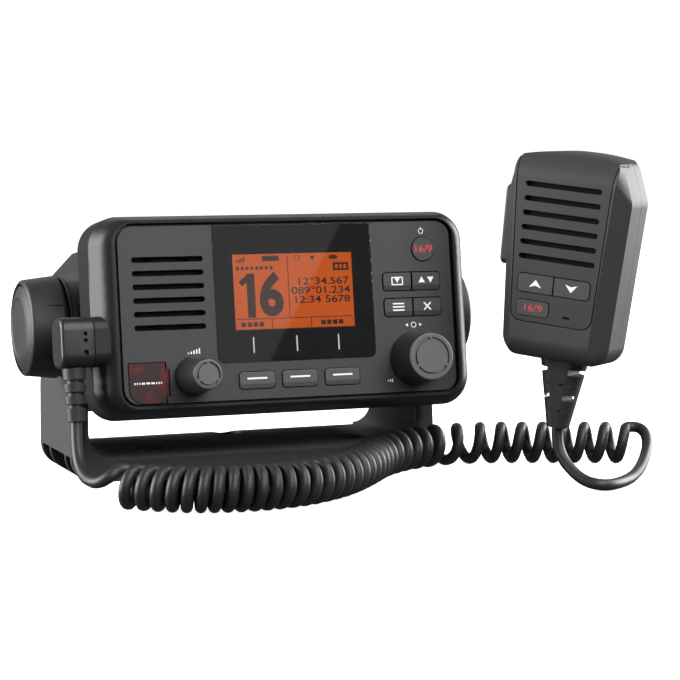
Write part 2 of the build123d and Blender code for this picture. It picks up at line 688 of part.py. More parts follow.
def key_outline(spec, grow=0.0):
    """Front outline of a key, grown evenly by `grow`, square on the side of its partner."""
    x, z, width, height, corner, partner = spec
    if corner is None:
        return Pos(x, z) * Circle(width / 2 + grow)
    outline = RectangleRounded(width + 2 * grow, height + 2 * grow, corner + grow)
    if partner:
        inner = Rectangle(width / 2 + grow, height + 2 * grow)
        outline += Pos(partner * (width / 2 + grow) / 2, 0) * inner
    return Pos(x, z) * outline


def key_pair(name, place, width, height, split):
    """Two keys side by side in one frame, divided by a narrow gap."""
    x, z = place
    half = (width - split) / 2
    offset = (half + split) / 2
    return {
        f"{name}_left": (x - offset, z, half, height, KEY_CORNER, 1),
        f"{name}_right": (x + offset, z, half, height, KEY_CORNER, -1),
    }


def panel_keys():
    """Place, size, corner and partner's side of every panel key; a corner of None is round."""
    keys = {"round_key": (*ROUND_KEY_PLACE, 2 * ROUND_KEY_RADIUS, 2 * ROUND_KEY_RADIUS, None, 0)}
    for row, place in (("upper", UPPER_PAIR), ("lower", LOWER_PAIR)):
        keys.update(key_pair(f"key_{row}", place, PAIR_WIDTH, PAIR_HEIGHT, PAIR_SPLIT))
    for step, place in enumerate(("left", "middle", "right"), start=-1):
        x = SOFTKEY_CENTRE + step * SOFTKEY_PITCH
        keys[f"softkey_{place}"] = (x, SOFTKEY_RISE, SOFTKEY_WIDTH, SOFTKEY_HEIGHT, KEY_CORNER, 0)
    return keys


def distress_outline(grow=0.0):
    """Front outline of the distress cover: its outer lower corner is round."""
    x, z = DISTRESS_PLACE
    half_width, half_height = DISTRESS_WIDTH / 2 + grow, DISTRESS_HEIGHT / 2 + grow
    shape = Polygon(
        (x - half_width, z - half_height), (x + half_width, z - half_height),
        (x + half_width, z + half_height), (x - half_width, z + half_height), align=None,
    )
    corner = shape.vertices().sort_by(lambda vertex: vertex.X + vertex.Y)[0]
    return fillet(corner, DISTRESS_ROUND + grow)


def hinge_x():
    """Hinge axis of the distress cover, at its right edge."""
    return DISTRESS_PLACE[0] + DISTRESS_WIDTH / 2 + HINGE_BARREL / 2


def hinge_depth():
    """Depth of the hinge axis: the middle of the cover."""
    return DISTRESS_PROUD + DISTRESS_THICK / 2


def upright_rod(radius, length, x, y, z):
    """Round bar along Z, centred at a place."""
    return Pos(x, y, z) * Cylinder(radius, length)


def build_face_panel():
    """Front panel: speaker slots, stepped window recess, key and knob openings."""
    solid = plate(PANEL_WIDTH, PANEL_HEIGHT, PANEL_CORNER, PANEL_SET, PANEL_THICK, z=PANEL_RISE)
    slot_x, slot_z = SLOT_CENTRE
    for index in range(SLOT_COUNT):
        z = slot_z + (index - (SLOT_COUNT - 1) / 2) * SLOT_PITCH
        solid -= plate(SLOT_LENGTH, SLOT_HEIGHT, SLOT_HEIGHT / 2 - TINY, 0, PANEL_BACK + 1, slot_x, z)
    solid -= back_prism(window_outline(SEAT), 0, WINDOW_BACK)
    lcd_size = (LCD_WIDTH + LCD_OPENING, LCD_HEIGHT + LCD_OPENING)
    solid -= back_prism(Pos(WINDOW_SHIFT, LCD_RISE) * Rectangle(*lcd_size), 0, PANEL_BACK + 1)
    for spec in panel_keys().values():
        grow = PAIR_SPLIT / 2 + SEAT if spec[-1] else GAP
        solid -= back_prism(key_outline(spec, grow), 0, PANEL_BACK + 1)
    solid -= back_prism(distress_outline(GAP), 0, DISTRESS_FLOOR)
    barrel_room = HINGE_BARREL + GAP
    x, z = hinge_x(), DISTRESS_PLACE[1]
    solid -= Pos(x, 0, z) * Box(2 * barrel_room, 2 * DISTRESS_FLOOR, HINGE_LENGTH + 2 * GAP)
    solid -= upright_rod(HINGE_PIN, DISTRESS_HEIGHT - 1, x, hinge_depth(), z)
    key = Pos(*DISTRESS_PLACE) * RectangleRounded(DISTRESS_KEY + 2 * GAP, DISTRESS_KEY + 2 * GAP, KEY_CORNER)
    solid -= back_prism(key, 0, PANEL_BACK + 1)
    for place in (SELECT_PLACE, VOLUME_PLACE):
        solid -= rod_back(SHAFT_RADIUS + RUN + BUSH_WALL + SEAT, 0, PANEL_BACK + 1, *place)
    return solid


def window_outline(grow=0.0):
    """Outline of the window: square at the panel's top edge, rounded at its foot."""
    half = WINDOW_WIDTH / 2 + grow
    top = PANEL_RISE + PANEL_HEIGHT / 2 + (1 if grow else 0)
    shape = Polygon(
        (WINDOW_SHIFT - half, WINDOW_FOOT - grow), (WINDOW_SHIFT + half, WINDOW_FOOT - grow),
        (WINDOW_SHIFT + half, top), (WINDOW_SHIFT - half, top), align=None,
    )
    return fillet(shape.vertices().sort_by(Axis.Y)[:2], WINDOW_CORNER)


def build_display_window():
    """Clear lens, its face a touch proud of the panel."""
    return back_prism(window_outline(), WINDOW_FRONT, WINDOW_THICK)


def build_lcd_module():
    """LCD: a glass pane in the panel's opening on a larger frame behind it."""
    frame_size = (LCD_WIDTH + 2 * LCD_FRAME, LCD_HEIGHT + 2 * LCD_FRAME, LCD_PANE)
    frame = plate(*frame_size, PANEL_BACK, LCD_THICK, WINDOW_SHIFT, LCD_RISE)
    pane_size = (LCD_WIDTH + LCD_PANE, LCD_HEIGHT + LCD_PANE, LCD_PANE / 2)
    pane = plate(*pane_size, WINDOW_BACK + SEAT, PANEL_BACK - WINDOW_BACK, WINDOW_SHIFT, LCD_RISE)
    return frame + pane


def key_slope(spec, front):
    """What the sloping lower part of a key's face takes away."""
    x, z, width, height = spec[:4]
    foot = z - height / 2
    section = Polygon(
        (front, foot + KEY_SLOPE_HEIGHT), (front - 1, foot + KEY_SLOPE_HEIGHT), (front - 1, foot - 1),
        (front + KEY_SLOPE_DEPTH, foot - 1), (front + KEY_SLOPE_DEPTH, foot), align=None,
    )
    return side_prism(section, x - width / 2 - 1, width + 2)


def build_key(spec):
    """Key cap through the panel, sloped at its foot, with a retaining lip behind it."""
    x, z, width, height, corner, partner = spec
    solid = back_prism(key_outline(spec), KEY_FRONT, LIP_FRONT - KEY_FRONT)
    if corner is None:
        return solid + rod_back(width / 2 + KEY_LIP, LIP_FRONT, KEY_LIP_THICK, x, z)
    solid -= key_slope(spec, KEY_FRONT)
    lip_width = width if partner else width + 2 * KEY_LIP
    return solid + plate(lip_width, height + 2 * KEY_LIP, corner, LIP_FRONT, KEY_LIP_THICK, x, z)


def build_distress_key():
    """Key under the distress cover, level with the floor of its pocket."""
    x, z = DISTRESS_PLACE
    depth = LIP_FRONT - DISTRESS_FLOOR
    solid = plate(DISTRESS_KEY, DISTRESS_KEY, KEY_CORNER - GAP, DISTRESS_FLOOR, depth, x, z)
    lip = DISTRESS_KEY + 2 * KEY_LIP
    return solid + plate(lip, lip, DISTRESS_LIP_CORNER, LIP_FRONT, KEY_LIP_THICK, x, z)


def build_distress_cover():
    """Hinged flap with a barrel on its right edge."""
    solid = back_prism(distress_outline(), DISTRESS_PROUD, DISTRESS_THICK)
    x, z = hinge_x(), DISTRESS_PLACE[1]
    for level in (-1, 1):
        notch_height = (DISTRESS_HEIGHT - HINGE_LENGTH) / 2
        notch_z = z + level * (HINGE_LENGTH + notch_height) / 2
        solid -= Pos(x, hinge_depth(), notch_z) * Box(2 * HINGE_BARREL, 2 * DISTRESS_THICK, notch_height)
    solid += upright_rod(HINGE_BARREL, HINGE_LENGTH, x, hinge_depth(), z)
    return solid - upright_rod(HINGE_PIN + RUN, DISTRESS_HEIGHT, x, hinge_depth(), z)


def build_distress_hinge_pin():
    """Steel pin, held at both ends in the panel."""
    return upright_rod(HINGE_PIN, DISTRESS_HEIGHT - 1, hinge_x(), hinge_depth(), DISTRESS_PLACE[1])


def build_keypad_mat():
    """Silicone mat with a raised pad behind every key, led round the two controls."""
    keep_out = CONTROL_SIZE + 2
    foot_left = DISTRESS_PLACE[0] - DISTRESS_KEY / 2 + MAT_PAD_INSET
    foot_right = SELECT_PLACE[0] - keep_out / 2
    foot = Pos((foot_left + foot_right) / 2, SOFTKEY_RISE) * Rectangle(foot_right - foot_left, SOFTKEY_HEIGHT)
    volume_x, volume_z = VOLUME_PLACE
    detour = Pos(volume_x, volume_z + keep_out / 4) * Rectangle(1.5 * keep_out, keep_out)
    low, high = LOWER_PAIR[1] - PAIR_HEIGHT / 2, ROUND_KEY_PLACE[1] + ROUND_KEY_RADIUS
    block = Pos(UPPER_PAIR[0], (low + high) / 2) * Rectangle(PAIR_WIDTH, high - low)
    neck_high = LOWER_PAIR[1]
    neck_x = UPPER_PAIR[0] - PAIR_WIDTH / 2
    neck = Pos(neck_x, (SOFTKEY_RISE + neck_high) / 2) * Rectangle(MAT_NECK, neck_high - SOFTKEY_RISE)
    solid = back_prism(foot + block + neck + detour, MAT_FRONT, MAT_THICK)
    for place in (SELECT_PLACE, VOLUME_PLACE):
        solid -= back_prism(Pos(*place) * Rectangle(keep_out, keep_out), MAT_FRONT - 1, MAT_THICK + 2)
    pads = [(x, z, width, height) for x, z, width, height, *_ in panel_keys().values()]
    pads.append((*DISTRESS_PLACE, DISTRESS_KEY, DISTRESS_KEY))
    for x, z, width, height in pads:
        pad = Rectangle(width - 2 * MAT_PAD_INSET, height - 2 * MAT_PAD_INSET)
        solid += back_prism(Pos(x, z) * pad, PAD_FRONT, MAT_PAD)
    return solid


def build_front_circuit_board():
    """Board behind the mat, cut away round the speaker."""
    outline = Rectangle(LEDGE_WIDTH - 4, LEDGE_HEIGHT - 1)
    outline = chamfer(outline.vertices(), BOARD_CORNER)
    solid = back_prism(Pos(0, PANEL_RISE) * outline, BOARD_FRONT, BOARD_THICK)
    solid -= rod_back(SPEAKER_RADIUS + 1, BOARD_FRONT - 1, BOARD_THICK + 2, *SLOT_CENTRE)
    return solid


def build_speaker():
    """Loudspeaker: rim against the panel, tapered basket, magnet, hollow cone."""
    x, z = SLOT_CENTRE
    basket_front = PANEL_BACK + SPEAKER_RIM
    basket_radius = SPEAKER_RADIUS - SPEAKER_EDGE
    neck = SPEAKER_MAGNET - SPEAKER_EDGE
    solid = rod_back(SPEAKER_RADIUS, PANEL_BACK, SPEAKER_RIM, x, z)
    solid += cone_back(basket_radius, neck, basket_front, SPEAKER_BASKET, x, z)
    solid += rod_back(SPEAKER_MAGNET, basket_front + SPEAKER_BASKET, SPEAKER_MAGNET_THICK, x, z)
    mouth, throat = basket_radius - SPEAKER_WALL, neck - 3 * SPEAKER_WALL
    return solid - cone_back(mouth, throat, PANEL_BACK - TINY, SPEAKER_BASKET, x, z)


# ---- Radio: rotary controls -------------------------------------------------------------------
def collar_front():
    """Front of the collar that keeps the shaft in its control."""
    return PANEL_BACK + SEAT + CONTROL_WALL + GAP


def build_control(place):
    """Body of a rotary control on the front board, with its bush through the panel."""
    front = PANEL_BACK + SEAT
    solid = plate(CONTROL_SIZE, CONTROL_SIZE, 1.0, front, BOARD_FRONT - front, *place)
    bush_front = PANEL_SET - BUSH_PROUD
    solid += rod_back(SHAFT_RADIUS + RUN + BUSH_WALL, bush_front, front - bush_front, *place)
    solid -= rod_back(SHAFT_RADIUS + RUN, bush_front - 1, BOARD_FRONT, *place)
    return solid - rod_back(SHAFT_COLLAR + GAP, front + CONTROL_WALL, BOARD_FRONT, *place)


def build_shaft(place, reach):
    """Shaft with a collar inside the control and its front end in the knob."""
    front = SHAFT_BEHIND_CAP - reach
    solid = rod_back(SHAFT_RADIUS, front, collar_front() - front, *place)
    return solid + rod_back(SHAFT_COLLAR, collar_front(), COLLAR_THICK, *place)


def build_plunger(place):
    """Actuator behind the shaft, which the push works."""
    front = collar_front() + COLLAR_THICK + RUN
    return rod_back(PLUNGER_RADIUS, front, PLUNGER_LENGTH, *place)


def build_knob(place, reach, back_radius, front_radius, ring, cap):
    """Hollow-skirted knob: tapered side, rounded edge, ring groove with three bridges."""
    x, z = place
    skirt = PANEL_SET - GAP - KNOB_PUSH
    length = reach + skirt
    solid = cone_back(front_radius, back_radius, -reach, length, x, z)
    front_edge = solid.edges().filter_by(GeomType.CIRCLE).sort_by(Axis.Y)[0]
    solid = fillet(front_edge, KNOB_EDGE)
    groove = rod_back(ring, -reach - 1, 1 + RING_DEPTH, x, z) - rod_back(cap, -reach - 2, 4, x, z)
    bridge = Box(2 * ring, 4, RING_BRIDGE, align=(Align.MIN, Align.CENTER, Align.CENTER))
    for angle in RING_BRIDGES:
        groove -= Pos(x, -reach, z) * Rot(0, -angle, 0) * bridge
    solid -= groove
    solid -= rod_back(SHAFT_RADIUS, SHAFT_BEHIND_CAP - reach, length, x, z)
    room = rod_back(back_radius - KNOB_SKIRT, skirt - KNOB_HOLLOW, KNOB_HOLLOW + 1, x, z)
    hub = rod_back(SHAFT_RADIUS + KNOB_HUB, skirt - KNOB_HOLLOW - 1, KNOB_HOLLOW - 1, x, z)
    return solid - (room - hub)


# ---- Radio: rear ------------------------------------------------------------------------------
def housing_outline(inset=0.0):
    """Rear view of the housing: a rectangle with bevelled corners."""
    shape = Rectangle(HOUSING_WIDTH - 2 * inset, HOUSING_HEIGHT - 2 * inset)
    return chamfer(shape.vertices(), HOUSING_BEVEL)


def flange_outline():
    """Front flange of the housing and the gasket's outer edge."""
    return RectangleRounded(FLANGE_WIDTH, HOUSING_HEIGHT + 1.0, BEZEL_CORNER / 2)


def build_main_gasket():
    """Flat gasket between bezel and housing."""
    solid = back_prism(flange_outline(), BEZEL_DEPTH, GASKET_THICK)
    solid -= back_prism(housing_outline(HOUSING_WALL), BEZEL_DEPTH - 1, GASKET_THICK + 2)
    return solid - cover_posts(COVER_SCREW_RADIUS + RUN, BEZEL_DEPTH - 1, GASKET_THICK + 2)


def build_rear_housing():
    """Cast housing: flange, hollow body, comb of upright fins, pivot pads, board posts."""
    solid = back_prism(flange_outline(), HOUSING_FRONT, FLANGE_THICK)
    solid += back_prism(housing_outline(), HOUSING_FRONT, HOUSING_BACK - HOUSING_FRONT)
    upper = Pos(0, FIN_FOOT + HOUSING_HEIGHT / 2) * Rectangle(HOUSING_WIDTH, HOUSING_HEIGHT)
    solid += back_prism(upper & housing_outline(), HOUSING_BACK - 1, FIN_BACK - HOUSING_BACK + 1)
    for index in range(FIN_COUNT):
        x = (index - (FIN_COUNT - 1) / 2) * FIN_PITCH
        gap = Pos(x, FIN_FOOT + HOUSING_HEIGHT / 2) * Rectangle(FIN_PITCH - FIN_THICK, HOUSING_HEIGHT)
        solid -= back_prism(gap, FIN_ROOT, FIN_BACK)
    cavity = back_prism(housing_outline(HOUSING_WALL), HOUSING_FRONT - 1, CAVITY_BACK - HOUSING_FRONT + 1)
    half = HOUSING_WIDTH / 2
    for side in (-1, 1):
        boss = rod_right(INSERT_BOSS, half - INSERT_LENGTH, INSERT_LENGTH, PIVOT_DEPTH)
        cavity -= boss if side > 0 else mirrored(boss)
    post_height = MAIN_BOARD_HEIGHT + HOUSING_HEIGHT / 2
    for x, y in board_posts():
        cavity -= Pos(x, y, -HOUSING_HEIGHT / 2) * Cylinder(BOARD_POST, post_height, align=LOW)
    solid -= cavity
    for side in (-1, 1):
        pad = rod_right(PIVOT_PAD, half - 1, PIVOT_PAD_THICK + 1, PIVOT_DEPTH)
        bore_left = half + PIVOT_PAD_THICK - INSERT_LENGTH
        bore = rod_right(INSERT_RADIUS, bore_left, INSERT_LENGTH + 1, PIVOT_DEPTH)
        solid += pad if side > 0 else mirrored(pad)
        solid -= bore if side > 0 else mirrored(bore)
    return solid - cover_posts(COVER_SCREW_RADIUS + RUN, HOUSING_FRONT - 1, FLANGE_THICK + 2)


def board_posts():
    """Places of the posts that carry the main board."""
    width, length = MAIN_BOARD
    x = width / 2 - 2 * BOARD_POST
    near, far = MAIN_BOARD_FRONT + 2 * BOARD_POST, MAIN_BOARD_FRONT + length - 2 * BOARD_POST
    return [(-x, near), (x, near), (-x, far), (x, far)]


def build_main_circuit_board():
    """Level board on the housing's posts, with its two largest parts."""
    width, length = MAIN_BOARD
    middle = MAIN_BOARD_FRONT + length / 2
    solid = Pos(0, middle, MAIN_BOARD_HEIGHT) * Box(width, length, BOARD_THICK, align=LOW)
    top = MAIN_BOARD_HEIGHT + BOARD_THICK
    for side, (wide, long, high) in ((1, AMPLIFIER), (-1, TRANSFORMER)):
        solid += Pos(side * width / 4, middle, top) * Box(wide * width, long * length, high, align=LOW)
    return solid


def build_housing_screws():
    """Four corner screws through flange and gasket into the bezel's posts."""
    screws = []
    for side in (-1, 1):
        for level in (-1, 1):
            place = (side * COVER_SCREW[0], level * COVER_SCREW[1])
            tip = BEZEL_DEPTH - COVER_SCREW_LENGTH + 1
            screw = rod_back(COVER_SCREW_RADIUS, tip, FLANGE_BACK - tip, *place)
            screw += rod_back(COVER_HEAD_RADIUS, FLANGE_BACK, COVER_HEAD_THICK, *place)
            screws.append(screw.solid())
    return Compound(screws)


def build_pivot_inserts():
    """Threaded brass inserts in the housing's sides."""
    outer = HOUSING_WIDTH / 2 + PIVOT_PAD_THICK
    insert = rod_right(INSERT_RADIUS, outer - INSERT_LENGTH, INSERT_LENGTH, PIVOT_DEPTH)
    insert -= rod_right(STUD_RADIUS + RUN, outer - INSERT_LENGTH - 1, INSERT_LENGTH + 2, PIVOT_DEPTH)
    return Compound([insert.solid(), mirrored(insert).solid()])


def build_antenna_connector():
    """Coaxial socket: square plate, round barrel, bore with a centre contact."""
    place = REAR_PORT
    solid = plate(ANTENNA_PLATE, ANTENNA_PLATE, 2.0, HOUSING_BACK, ANTENNA_PLATE_THICK, *place)
    solid += rod_back(ANTENNA_RADIUS, HOUSING_BACK, ANTENNA_LENGTH, *place)
    solid -= rod_back(ANTENNA_BORE, HOUSING_BACK + ANTENNA_PLATE_THICK, ANTENNA_LENGTH, *place)
    return solid + rod_back(ANTENNA_CONTACT, HOUSING_BACK + 1, ANTENNA_LENGTH - 3, *place)


def build_cable_gland():
    """Rubber gland of the power lead, open at its end."""
    place = (-REAR_PORT[0], REAR_PORT[1])
    solid = rod_back(GLAND_RADIUS + GLAND_FLANGE, HOUSING_BACK, GLAND_FLANGE, *place)
    neck_front = HOUSING_BACK + GLAND_FLANGE
    solid += cone_back(GLAND_RADIUS, GLAND_BACK, neck_front, GLAND_LENGTH - GLAND_FLANGE, *place)
    return solid - rod_back(GLAND_BORE, neck_front + 1, GLAND_LENGTH, *place)


# ---- Microphone plug -----------------------------------------------------------------------------
def build_mic_socket():
    """Metal socket sleeve in the bezel's boss."""
    sleeve = rod_right(SOCKET_RADIUS, -PLUG_SEAM, SOCKET_LENGTH, SOCKET_DEPTH, PLUG_RISE)
    bore_length = SOCKET_LENGTH - SOCKET_FLOOR + 1
    return sleeve - rod_right(SOCKET_BORE, -PLUG_SEAM - 1, bore_length, SOCKET_DEPTH, PLUG_RISE)


def build_plug_body():
    """Right-angled plug: a rounded box with a nose in the socket."""
    left = -PLUG_SEAM - SEAT - PLUG_LENGTH
    solid = side_prism(socket_section(), left, PLUG_LENGTH)
    end_edges = solid.edges().filter_by_position(Axis.X, left - TINY, left + TINY)
    solid = fillet(end_edges, PLUG_EDGE)
    return solid + rod_right(SOCKET_BORE - RUN, -PLUG_SEAM - 1, NOSE_LENGTH, SOCKET_DEPTH, PLUG_RISE)


def build_plug_boot():
    """Ringed strain relief under the plug, bored for the cord's end."""
    top = PLUG_RISE - PLUG_HEIGHT / 2
    foot = top - BOOT_LENGTH
    taper = (BOOT_TOP - BOOT_FOOT) / BOOT_LENGTH
    profile = [(0, top), (BOOT_TOP, top)]
    for share in BOOT_RINGS:
        level = top - share * BOOT_LENGTH
        radius = BOOT_TOP - taper * share * BOOT_LENGTH
        cut = radius - BOOT_RING_DEPTH
        profile += [(radius, level), (cut, level), (cut, level - BOOT_RING), (radius, level - BOOT_RING)]
    profile += [(BOOT_FOOT, foot), (0, foot)]
    face = make_face(Plane.XZ * Polyline(*profile, close=True))
    return Pos(-BOOT_SIDE, BOOT_SETBACK, 0) * revolve(face, Axis.Z)


# ---- Handset: drawn upright on the end of its boot -------------------------------------------------
def case_outline(inset):
    """Front view of the case's body, drawn in by an inset."""
    points = [
        (FOOT_HALF - inset, HANDSET_FOOT + inset),
        (SHOULDER_HALF - inset, SHOULDER_RISE),
        (TOP_HALF - inset, HANDSET_TOP),
    ]
    shape = Polygon(*points, *[(-x, z) for x, z in reversed(points)], align=None)
    return fillet(shape.vertices(), OUTLINE_ROUND - inset * 0.6)


def face_outline(inset):
    """Front view of the case's face, which is narrower, with its shoulder higher up."""
    shoulder_half, shoulder_rise = FACE_SHOULDER
    points = [
        (FACE_FOOT_HALF - inset, HANDSET_FOOT + inset),
        (shoulder_half - inset, shoulder_rise),
        (FACE_TOP_HALF - inset, HANDSET_TOP),
    ]
    shape = Polygon(*points, *[(-x, z) for x, z in reversed(points)], align=None)
    return fillet(shape.vertices(), FACE_ROUND - inset * 0.3)


def case_side_outline(inset):
    """Side outline of the case: the front runs back over the top in one large arc."""
    front, back = HANDSET_FRONT + inset, HANDSET_BACK - inset
    foot, top = HANDSET_FOOT + inset, HANDSET_TOP - inset
    shape = Polygon((front, foot), (back, foot), (back, top), (front, top), align=None)
    rounds = [
        (front, foot, FOOT_ROUND), (front, top, TOP_ROUND),
        (back, foot, REAR_ROUND), (back, top, REAR_ROUND),
    ]
    for y, z, radius in rounds:
        corner = shape.vertices().sort_by(lambda vertex: abs(vertex.X - y) + abs(vertex.Y - z))[0]
        shape = fillet(corner, radius - inset * 0.5)
    return shape


def case_form(inset):
    """Solid of the case's outer surface moved in by `inset`: front flank, body, rear flank."""
    front, back = HANDSET_FRONT + inset, HANDSET_BACK - inset
    body = case_outline(inset)
    outlines = [
        (front, face_outline(inset * 0.6)), (HANDSET_FRONT + FLANK_DEPTH, body),
        (HANDSET_BACK - REAR_FLANK_DEPTH, body), (back, case_outline(REAR_FLANK_WIDTH + inset * 0.6)),
    ]
    faces = [(Pos(0, depth, 0) * (Plane.XZ * outline)).face() for depth, outline in outlines]
    solid = loft(faces, ruled=True)
    wide = 2 * SHOULDER_HALF + 2
    solid &= side_prism(case_side_outline(inset), -wide / 2, wide)
    thick = HANDSET_BACK - HANDSET_FRONT + 2
    return solid & rod_back(TOP_ARCH - inset, HANDSET_FRONT - 1, thick, 0, HANDSET_TOP - TOP_ARCH)


def insert_outline(grow=0.0):
    """Front outline of the face insert, which runs off the top of the case."""
    points = [
        (INSERT_FOOT_HALF + grow, INSERT_FOOT - grow),
        (INSERT_TOP_HALF + grow, SHOULDER_RISE + 8),
        (INSERT_TOP_HALF + grow + 1.0, HANDSET_TOP + 1),
    ]
    shape = Polygon(*points, *[(-x, z) for x, z in reversed(points)], align=None)
    return fillet(shape.vertices().sort_by(Axis.Y)[:2], INSERT_ROUND + grow)


def insert_room(grow, depth):
    """The layer of the case's front and top that the insert fills."""
    layer = case_form(0) - case_form(depth)
    return layer & back_prism(insert_outline(grow), HANDSET_FRONT - 1, INSERT_WRAP + grow - HANDSET_FRONT + 1)


def handset_keys():
    """Place, size, corner and partner's side of the handset's keys."""
    pair = key_pair("rocker", (0.0, ROCKER_RISE), ROCKER_WIDTH, ROCKER_HEIGHT, ROCKER_SPLIT)
    return {
        "handset_up_key": pair["rocker_left"],
        "handset_down_key": pair["rocker_right"],
        "handset_channel_key": (*CHANNEL_PLACE, CHANNEL_WIDTH, CHANNEL_HEIGHT, KEY_CORNER, 0),
    }


def build_face_insert():
    """Face of the handset: sound slots, key openings and the microphone slot."""
    solid = insert_room(0, INSERT_THICK)
    cut_front, cut_depth = HANDSET_FRONT - 1, INSERT_THICK + 2
    slot = (GRILLE_LENGTH, GRILLE_HEIGHT, GRILLE_HEIGHT / 2 - TINY)
    for index in range(GRILLE_COUNT):
        solid -= plate(*slot, cut_front, cut_depth, 0, GRILLE_TOP - index * GRILLE_PITCH)
    for spec in handset_keys().values():
        grow = ROCKER_SPLIT / 2 + SEAT if spec[-1] else GAP
        solid -= back_prism(key_outline(spec, grow), cut_front, cut_depth)
    width, height = MIC_SLOT
    return solid - plate(width, height, height / 2 - TINY, cut_front, cut_depth, *MIC_PLACE)


def shell_half(front_half):
    """One half of the hollow case, cut at the seam."""
    shell = case_form(0) - case_form(CASE_WALL)
    tall = HANDSET_TOP + 10
    wide = 2 * SHOULDER_HALF + 10
    keep_front = HANDSET_FRONT - 5 if front_half else SEAM_DEPTH + SEAT
    keep_back = SEAM_DEPTH if front_half else HANDSET_BACK + 10
    room = Pos(0, (keep_front + keep_back) / 2, tall / 2) * Box(wide, keep_back - keep_front, tall)
    return shell & room


def ptt_section(grow=0.0):
    """Side outline of the push-to-talk lever."""
    y = SEAM_DEPTH - PTT_DEPTH / 2 - PTT_LIP - 2 * GAP
    size = (PTT_DEPTH + 2 * grow, PTT_HEIGHT + 2 * grow)
    return Pos(y, PTT_RISE) * RectangleRounded(*size, PTT_CORNER + grow)


def build_handset_front_shell():
    """Front half of the case, recessed for the insert, open behind it and at the lever."""
    solid = shell_half(True)
    solid -= insert_room(INSERT_SLIT, INSERT_THICK + SEAT)
    rise = SHOULDER_RISE - INSERT_FOOT
    opening = Pos(0, INSERT_FOOT + rise / 2) * Rectangle(3 * SHOULDER_HALF, rise + 3 * INSERT_LEDGE)
    window = insert_outline(-INSERT_LEDGE) & opening
    cut_depth = 2 * CASE_WALL
    solid -= back_prism(window, HANDSET_FRONT - 1, cut_depth)
    for x, z, width, height, corner, _ in handset_keys().values():
        room = 2 * (HANDSET_KEY_LIP + GAP)
        solid -= plate(width + 2 * GAP, height + room, corner, HANDSET_FRONT, cut_depth, x, z)
    solid -= rod_back(CAPSULE_RADIUS + GAP, HANDSET_FRONT, cut_depth, *MIC_PLACE)
    solid -= side_prism(ptt_section(GAP), -SHOULDER_HALF - 2, cut_depth + 1)
    return solid - side_prism(ptt_section(PTT_LIP + GAP), PTT_INNER - GAP, cut_depth + 1)


def build_handset_rear_shell():
    """Rear half of the case with screw bosses and the hole of the hang button."""
    solid = shell_half(False)
    boss_front = HANDSET_BACK - CASE_SCREW_SINK - CASE_SCREW_LENGTH + 2
    for x, z in case_screw_places():
        boss = rod_back(CASE_SCREW_RADIUS + CASE_SCREW_WALL, boss_front, HANDSET_BACK - 1 - boss_front, x, z)
        solid += boss
    for x, z in case_screw_places():
        solid -= rod_back(CASE_SCREW_RADIUS + RUN, SEAM_DEPTH, HANDSET_BACK, x, z)
        solid -= rod_back(CASE_SCREW_HEAD + RUN, HANDSET_BACK - CASE_SCREW_SINK, CASE_WALL, x, z)
    return solid - rod_back(HANG_NECK, HANDSET_BACK - 2 * CASE_WALL, 3 * CASE_WALL, 0, HANG_RISE)


def case_screw_places():
    """Places of the four case screws."""
    return [(side * CASE_SCREW_HALF, rise) for side in (-1, 1) for rise in CASE_SCREW_RISES]


def build_handset_screws():
    """Four case screws, their heads level with the back."""
    screws = []
    head = HANDSET_BACK - CASE_SCREW_SINK
    for x, z in case_screw_places():
        screw = rod_back(CASE_SCREW_RADIUS, head - CASE_SCREW_LENGTH, CASE_SCREW_LENGTH, x, z)
        screw += rod_back(CASE_SCREW_HEAD, head, CASE_SCREW_HEAD_THICK, x, z)
        screws.append(screw.solid())
    return Compound(screws)


def build_handset_speaker():
    """Small loudspeaker behind the slots."""
    z = GRILLE_TOP - (GRILLE_COUNT - 1) / 2 * GRILLE_PITCH
    front = HANDSET_FRONT + CASE_WALL + SEAT
    solid = rod_back(HANDSET_SPEAKER, front, 1.5, 0, z)
    return solid + rod_back(HANDSET_SPEAKER * 0.6, front + 1.5, HANDSET_SPEAKER_THICK - 1.5, 0, z)


def build_handset_board():
    """Circuit board of the handset, across the case behind the speaker."""
    width, height = HANDSET_BOARD
    front = HANDSET_FRONT + CASE_WALL + SEAT + HANDSET_SPEAKER_THICK
    middle = (HANDSET_FOOT + HANDSET_TOP) / 2 - 1
    return Pos(0, front + BOARD_THICK / 2, middle) * Box(width, BOARD_THICK, height)


def build_capsule():
    """Microphone capsule behind its slot."""
    return rod_back(CAPSULE_RADIUS, HANDSET_FRONT + INSERT_THICK + SEAT, CAPSULE_LENGTH, *MIC_PLACE)


def build_handset_key(spec):
    """Handset key with a lip above and below that keeps it in the insert."""
    x, z, width, height, corner, _ = spec
    front = HANDSET_FRONT - HANDSET_KEY_PROUD
    lip_front = HANDSET_FRONT + INSERT_THICK + GAP
    solid = back_prism(key_outline(spec), front, lip_front - front)
    lip_thick = HANDSET_KEY_THICK - (lip_front - front)
    return solid + plate(width, height + 2 * HANDSET_KEY_LIP, corner, lip_front, lip_thick, x, z)


def build_ptt_lever():
    """Push-to-talk bar in the case's left side, with a lip inside the wall."""
    outer = -SHOULDER_HALF - PTT_PROUD
    solid = side_prism(ptt_section(), outer, PTT_INNER - outer)
    outer_edges = solid.edges().filter_by_position(Axis.X, outer - TINY, outer + TINY)
    solid = fillet(outer_edges, PTT_EDGE)
    return solid + side_prism(ptt_section(PTT_LIP), PTT_INNER, PTT_LIP)


